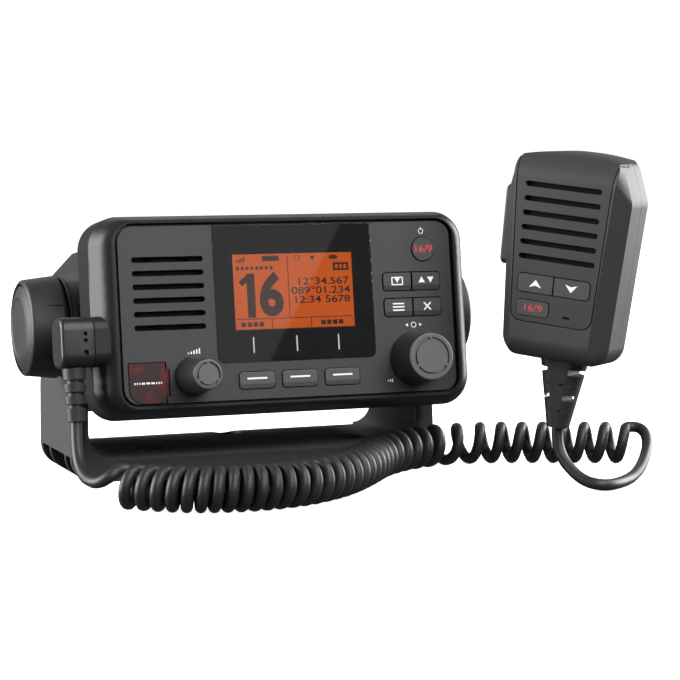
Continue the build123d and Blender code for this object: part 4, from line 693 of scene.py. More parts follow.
@dataclass
class RadioCase:
    """Bezel, panel, housing and everything that is fixed to them."""

    body: str = "radio"
    screw_dress: Dress = Dress(STEEL, "screw_steel", MOULDED, round_above=50.0)
    screw_places: tuple[Pair, ...] = ((-72, -33.5), (72, -33.5), (-72, 33.5), (72, 33.5))
    recess_floor: float = 32.1
    recess_size: Pair = (3.0, 0.9)
    socket_dress: Dress = Dress(NICKEL, "connector_metal", CRISP, round_above=50.0)
    socket_place: Pair = (42.0, -20.0)
    thread_radius: float = 8.02
    thread_width: float = 0.42
    thread_front: float = 116.0
    thread_sides: tuple[int, int] = (48, 6)
    thread_rings: int = 9
    thread_pitch: float = 1.35
    speaker_cloth_shade: Four = (36.0, 34.0, -53.8, 9.3)
    panel_back: float = 3.3

    def build(self) -> None:
        """Builds the case from the front to the rear."""
        dress_nodes(
            self.body,
            {
                "front_bezel": Dress(BEZEL_PLASTIC, "bezel_black", MOULDED, 30.0, 38.0),
                "face_panel": Dress(PANEL_PLASTIC, "panel_black", CRISP, 30.0, 50.0),
                "rear_housing": Dress(HOUSING_COAT, "housing_cast", ROUNDED, 30.0),
                "main_gasket": Dress(DARK_RUBBER, "gasket_rubber"),
                "keypad_mat": Dress(MAT_SILICONE, "mat_silicone"),
                "front_circuit_board": Dress(BOARD_MASK_AND_SHADE, "board_green"),
                "main_circuit_board": Dress(BOARD_MASK_AND_SHADE, "board_green"),
                "speaker": CLOTH,
                "pivot_inserts": Dress(BRASS, "insert_brass", CRISP),
                "mic_socket": Dress(NICKEL, "connector_metal"),
                "select_encoder": Dress(STEEL, "control_metal"),
                "volume_control": Dress(STEEL, "control_metal"),
                "distress_hinge_pin": Dress(DARK_STEEL, "screw_steel"),
                "power_cable_gland": Dress(DARK_RUBBER, "boot_rubber", MOULDED),
            },
        )
        # A near-black sheet behind the speaker slots: partly cloth, partly painted shade that keeps the
        # slots dark.
        cloth = bars([self.speaker_cloth_shade], self.panel_back, CLOTH_THICK)
        CLOTH.lay(cloth, "speaker_cloth_shade")
        self.cover_screws()
        self.antenna_thread()

    def cover_screws(self) -> None:
        """Gives the four cover screws their cross recesses."""
        screws = self.screw_dress.copy("housing_screws")
        for x, z in self.screw_places:
            cut_cross(screws, (x, z, self.recess_floor), self.recess_size, Place.RADIO)
        self.screw_dress.hand_over(screws, self.body)

    def antenna_thread(self) -> None:
        """Cuts the coupling thread of the antenna socket as close ring grooves."""
        socket = self.socket_dress.copy("antenna_connector")
        x, z = self.socket_place
        for turn in range(self.thread_rings):
            bpy.ops.mesh.primitive_torus_add(
                location=Vector((x, self.thread_front + turn * self.thread_pitch, z)) * MM,
                rotation=ALONG_DEPTH,
                major_radius=self.thread_radius * MM,
                minor_radius=self.thread_width * MM,
                major_segments=self.thread_sides[0],
                minor_segments=self.thread_sides[1],
            )
            cut(socket, seat(take(), Place.RADIO))
        self.socket_dress.hand_over(socket, self.body)


# ---- Display


@dataclass
class Display:
    """The window, its black border, the lit pane and what the pane shows.

    Four numbers of a bar are its width, height, x and z. A form is a stretch and a weight.
    """

    segment: Dress = Dress(LCD_SEGMENT, "lcd_glass")
    lit: Dress = Dress(LCD_BACKLIGHT, "lcd_glass")
    centre: Pair = (1.95, 8.9)
    pane_size: Pair = (53.9, 31.8)
    pane_margin: float = 0.6
    pane_depth: float = 2.28
    pane_thick: float = 0.05
    border_left: float = -33.6
    border_right: float = 37.5
    border_foot: float = -20.5
    border_top: float = 37.1
    border_depth: float = 2.14
    border_thick: float = 0.04
    pointer_xs: Triple = (-17.4, 2.1, 21.1)
    pointer_rise: Pair = (-13.5, 6.6)
    pointer_width: float = 0.45
    pointer_depth: float = 2.11
    bar_depth: float = 2.25
    bar_thick: float = 0.03
    sign_depth: float = 2.26
    mark_depth: float = 2.23
    mark_thick: float = 0.02
    digit_size: float = 24.0
    digit_place: Pair = (-8.4, 6.6)
    digit_form: Pair = (0.9, 0.95)
    digit_stem: Four = (3.6, 18.6, -17.4, 7.3)
    digit_flag: Four = (5.4, 2.4, 0.0, 0.0)
    flag_place: Triple = (-19.9, 13.9, 0.0)
    flag_turn: float = -38.0
    row_size: float = 4.3
    row_form: Pair = (1.36, 0.06)
    rows: tuple[tuple[str, float, float], ...] = (
        ("12°34.567", 15.2, 12.6),
        ("089°01.234", 14.2, 8.75),
        ("12:34 5678", 14.4, 4.85),
    )
    row_line: Four = (0.35, 26.0, -0.4, 10.8)
    status_z: float = 22.9
    level: BarRow = BarRow(4, 0.7, 0.8, 1.1, growth=0.5)
    level_x: float = -23.2
    level_drop: float = 1.1
    long_mark: Triple = (7.6, 2.3, -8.0)
    ring_size: Pair = (1.25, 0.35)
    ring_x: float = 4.0
    ring_sides: int = 24
    arrow_size: float = 1.3
    arrow_x: float = 11.0
    battery: tuple[Four, ...] = ((3.4, 1.7, 20.4, 22.9), (0.5, 0.8, 22.4, 22.9))
    inverse_box: Four = (7.2, 3.4, 23.8, 18.8)
    notch: Pair = (1.2, 1.7)
    notch_xs: Triple = (21.9, 23.8, 25.7)
    dashes: BarRow = BarRow(8, 1.3, 1.4, 2.15)
    dash_place: Pair = (-22.9, 18.9)
    rule: Triple = (52.4, 0.35, -2.6)
    dividers: tuple[Four, ...] = ((0.35, 4.0, -8.5, -4.8), (0.35, 4.0, 9.2, -4.8))
    marks: BarRow = BarRow(4, 2.0, 1.9, 2.7)
    mark_xs: Pair = (-21.4, 14.6)
    marks_z: float = -4.9

    def build(self) -> None:
        """Builds the display from the pane to the lens."""
        self.pane()
        self.border()
        lens = Dress(WINDOW_ACRYLIC, "window_clear", CRISP, round_above=50.0)
        lens.dress("display_window")
        self.main_digits()
        self.data_rows()
        self.status_icons()
        self.soft_key_row()

    def pane(self) -> None:
        """Paints the module's frame and lays the lit pane on it."""
        Dress(LCD_FRAME_METAL, "lcd_glass").dress("lcd_module")
        width, height = (side + self.pane_margin for side in self.pane_size)
        pane = bars([(width, height, *self.centre)], self.pane_depth, self.pane_thick)
        self.lit.lay(pane, "lcd_lit_pane")

    def border(self) -> None:
        """The black print behind the lens, open over the pane, with three pointer lines."""
        (x, z), (width, height) = self.centre, self.pane_size
        left, right, foot, top = x - width / 2, x + width / 2, z - height / 2, z + height / 2
        strips = (
            (self.border_left, left, self.border_foot, self.border_top),
            (right, self.border_right, self.border_foot, self.border_top),
            (left, right, top, self.border_top),
            (left, right, self.border_foot, foot),
        )
        rows = [(b - a, d - c, (a + b) / 2, (c + d) / 2) for a, b, c, d in strips]
        border = bars(rows, self.border_depth, self.border_thick)
        Dress(WINDOW_PRINT, "panel_black").lay(border, "window_border")
        middle, length = self.pointer_rise
        rows = [(self.pointer_width, length, x, middle) for x in self.pointer_xs]
        pointers = bars(rows, self.pointer_depth, self.bar_thick)
        PANEL_SIGN.lay(pointers, "window_pointers")

    def dark(self, rows: list[Four]) -> list[Piece]:
        """Dark bars on the pane, from the width, height, x and z of each."""
        return bars(rows, self.bar_depth, self.bar_thick)

    def main_digits(self) -> None:
        """The two large, heavy channel digits."""
        six = lettering("6", self.digit_size, (*self.digit_place, self.sign_depth), *self.digit_form)
        stem, flag = self.dark([self.digit_stem, self.digit_flag])
        turn_in_plane(flag, self.flag_turn, self.flag_place)
        self.segment.lay([six, stem, flag], "lcd_channel_digits")

    def data_rows(self) -> None:
        """Two position rows and a time row of plain digits, and the line beside them."""
        pieces = []
        for text, x, z in self.rows:
            pieces.append(lettering(text, self.row_size, (x, z, self.sign_depth), *self.row_form))
        self.segment.lay(pieces + self.dark([self.row_line]), "lcd_data_rows")

    def status_icons(self) -> None:
        """Level bars, a long mark, a ring, a triangle, a battery and an inverse box along the top."""
        top = self.status_z
        pieces = self.dark([*self.level.rows(self.level_x, top - self.level_drop), (*self.long_mark, top)])
        pieces.append(ring(*self.ring_size, (self.ring_x, top, self.sign_depth), self.ring_sides))
        pieces.append(triangle(self.arrow_size, (self.arrow_x, top, self.sign_depth), False))
        pieces += self.dark([*self.battery, self.inverse_box, *self.dashes.rows(*self.dash_place)])
        self.segment.lay(pieces, "lcd_status_icons")
        rows = [(*self.notch, x, self.inverse_box[3]) for x in self.notch_xs]
        notches = bars(rows, self.mark_depth, self.mark_thick)
        self.lit.lay(notches, "lcd_inverse_marks")

    def soft_key_row(self) -> None:
        """The line over the soft-key row, its dividers and a sign over two of the keys."""
        width, height, z = self.rule
        rows = [(width, height, self.centre[0], z), *self.dividers]
        for x in self.mark_xs:
            rows += self.marks.rows(x, self.marks_z)
        self.segment.lay(self.dark(rows), "lcd_soft_key_row")


# ---- Keys


@dataclass
class FrontKeys:
    """Round key, two key pairs, three soft keys, and the distress key under its flap."""

    pair_names: tuple[str, ...] = ("key_upper_left", "key_upper_right", "key_lower_left", "key_lower_right")
    soft_names: tuple[str, ...] = ("softkey_left", "softkey_middle", "softkey_right")
    legend_depth: float = 0.18
    pair_xs: Pair = (49.15, 62.75)
    pair_zs: Pair = (11.6, 0.4)
    soft_pitch: float = 19.3
    soft_centre: float = 2.25
    soft_bar: Triple = (8.9, 0.75, -27.6)
    round_place: Pair = (62.05, 25.2)
    digit_size: float = 4.3
    digit_stretch: float = 1.2
    digit_weight: float = 0.09
    envelope: tuple[Four, ...] = (
        (5.4, 0.5, 0, 1.55),
        (5.4, 0.5, 0, -1.55),
        (0.5, 3.6, -2.45, 0),
        (0.5, 3.6, 2.45, 0),
    )
    envelope_flap: Pair = (1.5, 0.75)
    arrow_size: float = 1.75
    arrows: tuple[tuple[float, float, bool], ...] = ((-2.1, 0.0, True), (2.1, 0.6, False))
    list_bar: Pair = (5.4, 0.6)
    list_pitch: float = 1.4
    cross_bar: Pair = (4.6, 0.65)
    cross_turns: Pair = (45.0, -45.0)
    flap_place: Pair = (-64.75, -27.7)
    flap_depth: float = 0.36
    flap_marks: tuple[float, ...] = (0.5, 0.5, 0.5, 1.5, 1.5, 1.5, 0.5, 0.5, 0.5)
    flap_mark_height: float = 0.8
    flap_space: float = 0.55

    def build(self) -> None:
        """Softens, paints and prints every key."""
        for name in ("round_key", *self.pair_names):
            KEY.dress(name, f"{name}_cap")
        for name in self.soft_names:
            Dress(SOFT_KEY_SILICONE, "key_light", MOULDED).dress(name, f"{name}_cap")
        Dress(SILICONE_RED, "distress_red", MOULDED).dress("distress_key", "distress_key_cap")
        self.print_soft_bars()
        spot = (*self.round_place, self.legend_depth)
        digits = lettering("16/9", self.digit_size, spot, self.digit_stretch, self.digit_weight)
        KEY_DIGITS.lay([digits], "round_key_digits", "round_key_cap")
        self.print_signs()
        self.distress_flap()

    def print_soft_bars(self) -> None:
        """A white bar on each soft key."""
        width, height, z = self.soft_bar
        for step, name in enumerate(self.soft_names, start=-1):
            mark = bars([(width, height, self.soft_centre + step * self.soft_pitch, z)], self.legend_depth)
            Dress(PRINT_WHITE_PAINTED_GLOW, "key_light").lay(mark, f"{name}_bar", f"{name}_cap")

    def print_signs(self) -> None:
        """Plain signs on the four keys: envelope, up and down, list, cross."""
        depth, middle = self.legend_depth, self.legend_depth + LEGEND_THICK / 2
        (left, right), (upper, lower) = self.pair_xs, self.pair_zs
        frame_rows = [(width, height, left + x, upper + z) for width, height, x, z in self.envelope]
        size, rise = self.envelope_flap
        envelope = bars(frame_rows, depth) + [triangle(size, (left, upper + rise, middle), False)]
        arrows = [triangle(self.arrow_size, (right + x, upper + z, middle), up) for x, z, up in self.arrows]
        list_rows = [(*self.list_bar, left, lower + step * self.list_pitch) for step in (-1, 0, 1)]
        lines = bars(list_rows, depth)
        strokes = bars([(*self.cross_bar, 0, 0)] * 2, depth)
        for stroke, turn in zip(strokes, self.cross_turns):
            turn_in_plane(stroke, turn, (right, lower, 0.0))
        for name, pieces in zip(self.pair_names, (envelope, arrows, lines, strokes)):
            KEY_SIGN.lay(pieces, f"{name}_sign", f"{name}_cap")

    def distress_flap(self) -> None:
        """The red flap with a row of dots and dashes."""
        Dress(COVER_RED, "cover_red", MOULDED).dress("distress_cover", "distress_flap")
        x, z = self.flap_place
        start = x - (sum(self.flap_marks) + self.flap_space * (len(self.flap_marks) - 1)) / 2
        rows = []
        for length in self.flap_marks:
            rows.append((length, self.flap_mark_height, start + length / 2, z))
            start += length + self.flap_space
        marks = bars(rows, self.flap_depth)
        Dress(PRINT_WHITE_PAINTED_GLOW, "cover_red").lay(marks, "distress_flap_print", "distress_flap")


# ---- Rotary controls


@dataclass
class RotaryControl:
    """One of the two knobs with its shaft and plunger."""

    name: str
    reach: float
    face_depth: float = 1.6
    facing: float = 0.6

    def build(self) -> None:
        """Softens and paints the knob, its shaft and its plunger."""
        turn = f"{self.name}_turn"
        knob_dress = Dress(ROTARY_PLASTIC, "rotary_black", CRISP, 26.0, 50.0)
        # The knob's forward-facing front faces get a painted highlight.
        self.paint_front_highlight(knob_dress.dress(f"{self.name}_knob", turn))
        Dress(STEEL, "shaft_steel", CRISP).dress(f"{self.name}_shaft", turn)
        Dress(ROTARY_PLASTIC, "rotary_black").dress(f"{self.name}_plunger", f"{self.name}_push")

    def paint_front_highlight(self, knob: Piece) -> None:
        """Paints a highlight on the knob's front: its forward-facing faces near the front get a lighter
        colour.

        Args:
            knob: the finished knob.
        """
        knob.data.materials.append(ROTARY_FRONT_HIGHLIGHT.material())
        back = Place.RADIO.matrix.inverted()
        forward = -(Place.RADIO.matrix.to_3x3() @ Vector((0, 1, 0)))
        for face in knob.data.polygons:
            depth = (back @ face.center).y / MM
            if face.normal.dot(forward) > self.facing and depth < self.face_depth - self.reach:
                face.material_index = 1


@dataclass
class PanelPrint:
    """The plain signs printed on the front panel. Two numbers of a ring are its radius and width."""

    depth: float = 0.78
    sunk: float = 0.01
    power_place: Pair = (61.7, 33.1)
    power_ring: Pair = (1.2, 0.28)
    power_bar: Pair = (0.3, 1.2)
    volume_bars: BarRow = BarRow(5, 0.55, 0.6, 1.2, growth=0.42)
    volume_place: Pair = (-46.6, -16.0)
    turn_place: Pair = (56.0, -7.5)
    turn_ring: Pair = (1.25, 0.3)
    arrow_size: float = 0.85
    arrow_shift: float = 3.1
    hold_bars: BarRow = BarRow(3, 0.5, 0.5, 1.0, growth=0.5, level_feet=False)
    hold_place: Pair = (42.7, -31.2)

    def build(self) -> None:
        """Prints the power, volume, turn and hold signs."""
        middle = self.depth + LEGEND_THICK / 2 - self.sunk
        x, z = self.power_place
        marks = [ring(*self.power_ring, (x, z, middle))]
        marks += bars([(*self.power_bar, x, z + self.power_ring[0])], self.depth - self.sunk)
        marks += bars(self.volume_bars.rows(*self.volume_place), self.depth)
        x, z = self.turn_place
        marks.append(ring(*self.turn_ring, (x, z, middle)))
        for side in (-1, 1):
            arrow = triangle(self.arrow_size, (0.0, 0.0, 0.0))
            marks.append(turn_in_plane(arrow, 90.0 * side, (x + side * self.arrow_shift, z, middle)))
        marks += bars(self.hold_bars.rows(*self.hold_place), self.depth)
        PANEL_SIGN.lay(marks, "panel_signs")


# ---- Microphone plug


@dataclass
class MicrophonePlug:
    """The right-angled plug and its ringed boot."""

    body: str = "radio"
    hole_x: float = -90.0
    hole_front: float = 0.5
    hole_depth: float = 4.0
    hole_sides: int = 20
    holes: tuple[Pair, ...] = ((-6.1, 0.85), (-8.8, 0.85), (-13.8, 1.15))

    def build(self) -> list[Piece]:
        """Softens and paints the plug and its boot.

        Returns:
            The plug and its boot.
        """
        plug_dress = Dress(PLUG_PLASTIC, "plug_black", MOULDED, 30.0, 40.0)
        plug = plug_dress.copy("plug_body")
        for z, radius in self.holes:
            bpy.ops.mesh.primitive_cylinder_add(
                vertices=self.hole_sides,
                radius=radius * MM,
                depth=self.hole_depth * MM,
                location=Vector((self.hole_x, self.hole_front + self.hole_depth / 2, z)) * MM,
                rotation=ALONG_DEPTH,
            )
            cut(plug, seat(take(), Place.RADIO))
        plug_dress.hand_over(plug, self.body)
        boot_dress = Dress(DARK_RUBBER, "boot_rubber", CRISP, 40.0, 50.0)
        return [plug, boot_dress.dress("plug_boot", self.body)]


# ---- Handset


@dataclass
class Handset:
    """The fist microphone that stands over the loop of its cord."""

    body: str = "bracket"
    shell: Dress = Dress(CASE_PLASTIC, "case_black", MOULDED, 26.0, 40.0)
    legend_depth: float = -18.84
    rocker_place: Pair = (8.2, 61.6)
    arrow_size: Pair = (5.6, 3.2)
    channel_place: Pair = (-8.6, 51.2)
    digit_size: float = 4.6
    digit_stretch: float = 1.15
    digit_weight: float = 0.02
    screw_half: float = 16.0
    screw_rises: Pair = (46.0, 104.0)
    recess_floor: float = 10.5
    recess_size: Pair = (2.6, 0.7)
    grille_cloth_shade: Four = (37.0, 35.0, 0.0, 87.7)
    insert_back: float = -16.68

    def build(self) -> None:
        """Builds the case, the keys and the fittings."""
        dress_nodes(
            self.body,
            {
                "handset_front_shell": self.shell,
                "handset_rear_shell": self.shell,
                "handset_face_insert": Dress(INSERT_PLASTIC, "insert_black", MOULDED, 26.0, 40.0),
                "handset_speaker": CLOTH,
                "handset_circuit_board": Dress(BOARD_MASK_AND_SHADE, "board_green"),
                "microphone_capsule": Dress(STEEL, "capsule_metal"),
                "handset_boot": Dress(DARK_RUBBER, "boot_rubber", MOULDED),
                "handset_hang_button": Dress(NICKEL, "connector_metal", MOULDED),
            },
        )
        # A near-black sheet behind the grille slots: partly cloth, partly painted shade that keeps the slots
        # dark.
        cloth = bars([self.grille_cloth_shade], self.insert_back, CLOTH_THICK)
        CLOTH.lay(cloth, "handset_speaker_mesh", self.body, Place.HANDSET)
        self.case_screws()
        self.keys()
        Dress(CASE_PLASTIC, "key_rubber", MOULDED).dress("ptt_lever", "ptt")

    def case_screws(self) -> None:
        """Gives the four case screws their cross recesses."""
        screws = SCREW.copy("handset_screws")
        for side in (-1, 1):
            for rise in self.screw_rises:
                spot = (side * self.screw_half, rise, self.recess_floor)
                cut_cross(screws, spot, self.recess_size, Place.HANDSET)
        SCREW.hand_over(screws, self.body)

    def keys(self) -> None:
        """Softens and prints the three keys."""
        x, z = self.rocker_place
        for name, side, points_up in (("handset_up_key", -1, True), ("handset_down_key", 1, False)):
            body = f"{name}_cap"
            KEY.dress(name, body)
            sign = self.arrowhead((side * x, z, self.legend_depth), points_up)
            KEY_SIGN.lay([sign], f"{name}_sign", body, Place.HANDSET)
        channel_cap = "handset_channel_key_cap"
        KEY.dress("handset_channel_key", channel_cap)
        spot = (*self.channel_place, self.legend_depth)
        digits = lettering("16/9", self.digit_size, spot, self.digit_stretch, self.digit_weight)
        KEY_DIGITS.lay([digits], "handset_channel_digits", channel_cap, Place.HANDSET)

    def arrowhead(self, spot: Triple, points_up: bool) -> Piece:
        """A flat arrowhead with a hollow foot.

        Args:
            spot: x, z and depth of its middle.
            points_up: whether it points up or down.

        Returns:
            The arrowhead.
        """
        bpy.ops.mesh.primitive_circle_add(vertices=4, radius=1.0, fill_type="NGON")
        piece = take()
        for vertex in piece.data.vertices:
            if abs(vertex.co.x) > 0.5:
                vertex.co.y = -1.0
            elif vertex.co.y < 0:
                vertex.co.y = -0.5
        turn = Matrix.Rotation(0.0 if points_up else math.pi, 4, "Z")
        width, height = (side / 2 * MM for side in self.arrow_size)
        stand_up(piece, spot, turn @ Matrix.Diagonal((width, height, 1.0, 1.0)))
        focus(piece)
        bpy.ops.object.transform_apply(location=False, rotation=False, scale=True)
        return thicken(piece)


# ---- Cord


@dataclass
class MicrophoneCord:
    """The curly cord from the plug, over the standing surface, to the handset.

    Each row of pitches gives a length along the coil and the distance from turn to turn there.
    """

    radius: float = 2.5 * MM
    coil_radius: float = 9.6 * MM
    pitches: tuple[Pair, ...] = (
        (0.0, 8.4), (12.0, 6.3), (38.0, 5.3), (57.0, 5.4), (100.0, 6.9), (148.0, 6.6),
        (166.0, 9.5), (190.0, 8.0), (208.0, 12.4), (228.0, 9.5), (290.0, 9.6),
    )
    points_per_turn: int = 12
    sides: int = 12
    smooth_below: float = 50.0
    step: float = 0.85 * MM
    middle_resolution: int = 24
    resolution: int = 10
    real_length: float = 1.94
    blend_reach: float = 22.0 * MM
    blend_along: Triple = (0.3, -0.5, -0.8)
    tail: tuple[Triple, ...] = (
        (-93.7, -67.6, 32.8), (-94.6, -70.0, 22.0), (-95.2, -80.0, 12.5),
        (-92.5, -93.5, 10.5), (-87.0, -98.0, 15.0),
    )
    coil: tuple[Pair, ...] = (
        (-82.5, -93.0), (-69.5, -107.0), (-50.0, -117.0), (-27.5, -119.0), (-6.5, -112.8),
        (12.0, -99.6), (28.0, -82.0), (43.0, -61.5), (61.0, -46.3), (83.0, -37.6),
        (105.0, -39.6), (127.0, -48.2), (148.0, -56.6), (164.8, -64.2),
    )
    loop: tuple[Triple, ...] = (
        (171.2, -67.1, 16.7), (169.8, -76.0, 12.0), (162.0, -86.5, 5.5),
        (148.5, -104.0, 2.6), (133.0, -121.5, 2.5), (117.5, -130.5, 2.6),
        (110.4, -121.0, 4.6), (105.3, -109.45, 16.1), (105.9, -110.25, 26.1),
    )

    def pitch_at(self, reach: float) -> float:
        """The distance from turn to turn at a length along the coil.

        Args:
            reach: the length in metres.

        Returns:
            The distance in metres.
        """
        for (start, first), (stop, last) in zip(self.pitches, self.pitches[1:]):
            if reach / MM <= stop:
                return (first + (last - first) * (reach / MM - start) / (stop - start)) * MM
        return self.pitches[-1][1] * MM

    def spline_points(self, points: list[Vector], resolution: int) -> list[Vector]:
        """Reads the points of a smooth spline of order three.

        Args:
            points: its control points in metres.
            resolution: points read for each control point.

        Returns:
            Points along the spline.
        """
        curve = bpy.data.curves.new("route", "CURVE")
        curve.dimensions = "3D"
        curve.resolution_u = resolution
        spline = curve.splines.new("NURBS")
        spline.points.add(len(points) - 1)
        for control, point in zip(spline.points, points):
            control.co = (*point, 1.0)
        spline.order_u = 3
        spline.use_endpoint_u = True
        holder = bpy.data.objects.new("route", curve)
        bpy.context.scene.collection.objects.link(holder)
        bpy.context.view_layer.update()
        mesh = bpy.data.meshes.new_from_object(holder)
        read = [vertex.co.copy() for vertex in mesh.vertices]
        bpy.data.objects.remove(holder)
        bpy.data.meshes.remove(mesh)
        return read

    def helix(self) -> list[Vector]:
        """Works out the turns round the coil's middle line, over the top and down behind.

        Returns:
            The control points of the turns. They lie a little outside the middle of the cord,
            because a spline of order three cuts its corners.
        """
        route = [Vector((x, y, self.coil_radius / MM)) * MM for x, y in self.coil]
        middle = self.spline_points(route, self.middle_resolution)
        corner_cut = 0.75 + 0.25 * math.cos(2 * math.pi / self.points_per_turn)
        turn_radius = (self.coil_radius - self.radius) / corner_cut
        phases, reach = [0.0], 0.0
        for before, after in zip(middle, middle[1:]):
            length = (after - before).length
            phases.append(phases[-1] + length / self.pitch_at(reach + length / 2))
            reach += length
        turns = round(phases[-1])
        scale = turns / phases[-1]
        phases = [phase * scale for phase in phases]
        points, index = [], 0
        for number in range(turns * self.points_per_turn + 1):
            phase = number / self.points_per_turn
            while index < len(phases) - 2 and phases[index + 1] < phase:
                index += 1
            share = (phase - phases[index]) / (phases[index + 1] - phases[index])
            centre = middle[index].lerp(middle[index + 1], min(share, 1.0))
            along = (middle[index + 1] - middle[index]).normalized()
            back = Vector((-along.y, along.x, 0.0))
            angle = 2 * math.pi * phase
            turned = math.cos(angle) * Vector((0, 0, 1)) + math.sin(angle) * back
            points.append(centre + turn_radius * turned)
        LOG.info("cord turns: %d", turns)
        return points

    def even_points(self) -> list[Vector]:
        """Points along the whole cord, no closer than one step.

        Returns:
            The points from the plug to the handset.
        """
        tail, loop = ([Vector(point) * MM for point in end] for end in (self.tail, self.loop))
        read = self.spline_points(tail + self.helix() + loop, self.resolution)
        kept = [read[0]]
        for point in read[1:-1]:
            if (point - kept[-1]).length >= self.step:
                kept.append(point)
        if (read[-1] - kept[-1]).length < self.step / 2:
            kept.pop()
        return kept + [read[-1]]

    def tube(self, path: list[Vector]) -> Piece:
        """Sweeps a round section along a path without twist.

        Args:
            path: points along the cord.

        Returns:
            The closed tube.
        """
        rings, faces = [], []
        along = (path[1] - path[0]).normalized()
        side = along.orthogonal().normalized()
        for index, point in enumerate(path):
            ahead = path[min(index + 1, len(path) - 1)] - path[max(index - 1, 0)]
            turn = along.rotation_difference(ahead.normalized())
            along = ahead.normalized()
            side = (turn @ side).normalized()
            other = along.cross(side)
            for step in range(self.sides):
                angle = 2 * math.pi * step / self.sides
                rings.append(point + self.radius * (math.cos(angle) * side + math.sin(angle) * other))
        for index in range(len(path) - 1):
            for step in range(self.sides):
                a = index * self.sides + step
                b = index * self.sides + (step + 1) % self.sides
                faces.append((a, b, b + self.sides, a + self.sides))
        faces.append(tuple(reversed(range(self.sides))))
        faces.append(tuple(range(len(rings) - self.sides, len(rings))))
        mesh = bpy.data.meshes.new("microphone_cord")
        mesh.from_pydata(rings, [], faces)
        mesh.update()
        piece = bpy.data.objects.new("microphone_cord", mesh)
        bpy.context.scene.collection.objects.link(piece)
        smooth(piece, self.smooth_below)
        return piece

    def build(self, plug: list[Piece]) -> None:
        """Builds the cord.

        Args:
            plug: the plug and its boot; not used.
        """
        path = self.even_points()
        length = sum((after - before).length for before, after in zip(path, path[1:]))
        LOG.info("cord length %.3f m in %d rings", length, len(path))
        piece = self.tube(path)
        piece.data.materials.append(CORD_JACKET.material())
        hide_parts("cord_tail_radio", "cord_coil", "cord_tail_handset")
        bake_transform(piece)


# ---- Studio


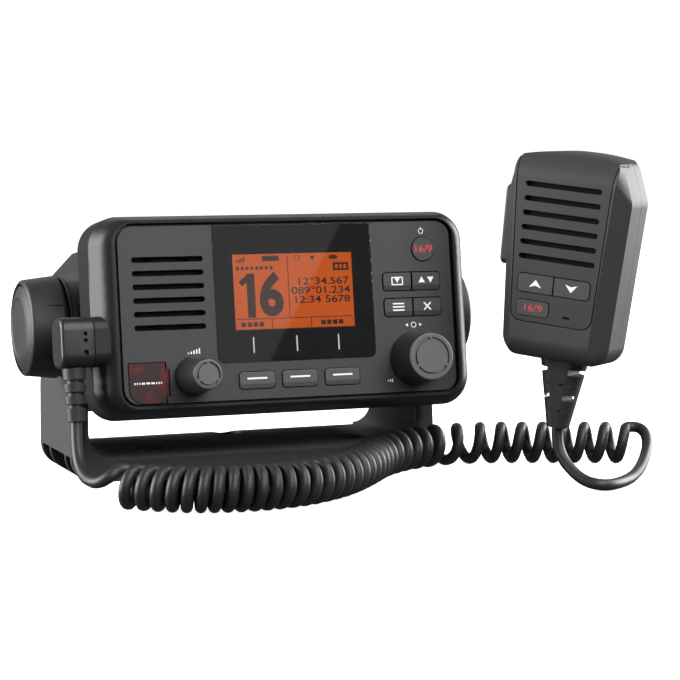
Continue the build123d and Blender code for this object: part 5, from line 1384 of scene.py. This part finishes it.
@dataclass
class Studio:
    """Camera, pale floor and soft light. Places and sizes are in metres."""

    camera_place: Triple = (-0.32138, -0.93257, 0.15567)
    look_right: float = 21.70
    look_down: float = 5.731
    lens: float = 115.4
    sensor: float = 36.0
    clip: Pair = (0.01, 50.0)
    floor_size: float = 40.0
    floor_drop: float = 0.05 * MM
    backdrop_glow: float = 1.05
    surround_glow: float = 0.15
    aim: Triple = (0.02, -0.05, 0.06)
    boxes: tuple[tuple[str, Triple, Pair, float], ...] = (
        ("left", (-1.3, 0.4, 0.35), (0.9, 1.1), 52.0),
        ("right", (1.6, 0.15, 0.4), (0.9, 1.1), 50.0),
        ("front", (-0.1, -1.8, 0.9), (0.9, 0.6), 13.0),
        ("front_right", (0.6, -1.35, 0.8), (0.7, 0.4), 9.0),
        ("top", (0.55, -0.75, 1.3), (1.1, 0.6), 17.0),
        ("back", (0.3, 1.3, 0.75), (1.0, 0.4), 1.5),
    )
    card_place: Triple = (0.3963, -1.4234, 0.4450)
    card_back: Triple = (0.34937, -0.91666, 0.19410)
    card_edge: Triple = (0.45199, 0.34635, 0.82206)
    card_size: Pair = (0.3, 0.4)
    card_glow: float = 0.5

    def build(self) -> None:
        """Sets up the camera, the floor and the lights."""
        self.camera()
        self.floor()
        self.light()

    def camera(self) -> None:
        """The camera, a little above the radio and turned towards the handset's side."""
        clear()
        turn = (math.radians(90.0 - self.look_down), 0.0, math.radians(-self.look_right))
        bpy.ops.object.camera_add(location=self.camera_place, rotation=turn)
        camera = bpy.context.object
        camera.data.lens = self.lens
        camera.data.sensor_width = self.sensor
        camera.data.clip_start, camera.data.clip_end = self.clip
        bpy.context.scene.camera = camera

    def floor(self) -> None:
        """A large pale floor at the bracket's foot."""
        clear()
        bpy.ops.mesh.primitive_plane_add(size=self.floor_size, location=(0.0, 0.0, -self.floor_drop))
        floor = take()
        floor.name = "studio_floor"
        floor.data.materials.append(FLOOR_WHITE.material())
        floor.visible_diffuse = False
        floor.visible_glossy = False

    def light(self) -> None:
        """A white backdrop, a dim surround, soft boxes on every side and a reflection card."""
        world = bpy.data.worlds.new("studio_surround")
        world.use_nodes = True
        tree = world.node_tree
        backdrop = tree.nodes["Background"]
        backdrop.inputs["Color"].default_value = (1.0, 1.0, 1.0, 1.0)
        backdrop.inputs["Strength"].default_value = self.backdrop_glow
        surround = tree.nodes.new("ShaderNodeBackground")
        surround.inputs["Strength"].default_value = self.surround_glow
        seen = tree.nodes.new("ShaderNodeLightPath").outputs["Is Camera Ray"]
        mix = tree.nodes.new("ShaderNodeMixShader")
        tree.links.new(seen, mix.inputs[0])
        tree.links.new(surround.outputs[0], mix.inputs[1])
        tree.links.new(backdrop.outputs[0], mix.inputs[2])
        tree.links.new(mix.outputs[0], tree.nodes["World Output"].inputs["Surface"])
        bpy.context.scene.world = world
        for name, place, size, power in self.boxes:
            aim = Vector(self.aim) - Vector(place)
            self.lamp(f"soft_box_{name}", place, size, power, aim.to_track_quat("-Z", "Y"))
        back, edge = Vector(self.card_back), Vector(self.card_edge)
        turn = Matrix((edge.cross(back), edge, back)).transposed().to_quaternion()
        power = self.card_glow * math.pi * self.card_size[0] * self.card_size[1]
        self.lamp("reflection_card", self.card_place, self.card_size, power, turn)
        bpy.context.scene.view_settings.view_transform = "Standard"

    @staticmethod
    def lamp(name: str, place: Triple, size: Pair, power: float, turn: Quaternion) -> None:
        """Adds one rectangular soft light.

        Args:
            name: its name in the scene.
            place: its centre in metres.
            size: its width and height in metres.
            power: its power in watts.
            turn: its rotation.
        """
        clear()
        bpy.ops.object.light_add(type="AREA", location=place)
        lamp = bpy.context.object
        lamp.name = name
        lamp.data.shape = "RECTANGLE"
        lamp.data.size, lamp.data.size_y = size
        lamp.data.energy = power
        lamp.rotation_euler = turn.to_euler()


def main() -> None:
    """Builds every sub-assembly in order."""
    Studio().build()
    plug = MicrophonePlug().build()
    MicrophoneCord().build(plug)
    RadioCase().build()
    Display().build()
    FrontKeys().build()
    RotaryControl("select", reach=17.0).build()
    RotaryControl("volume", reach=18.8).build()
    PanelPrint().build()
    GimbalBracket().build()
    for side in ("left", "right"):
        ClampKnob(side).build()
    Handset().build()
    clear()


if __name__ == "__main__":
    main()
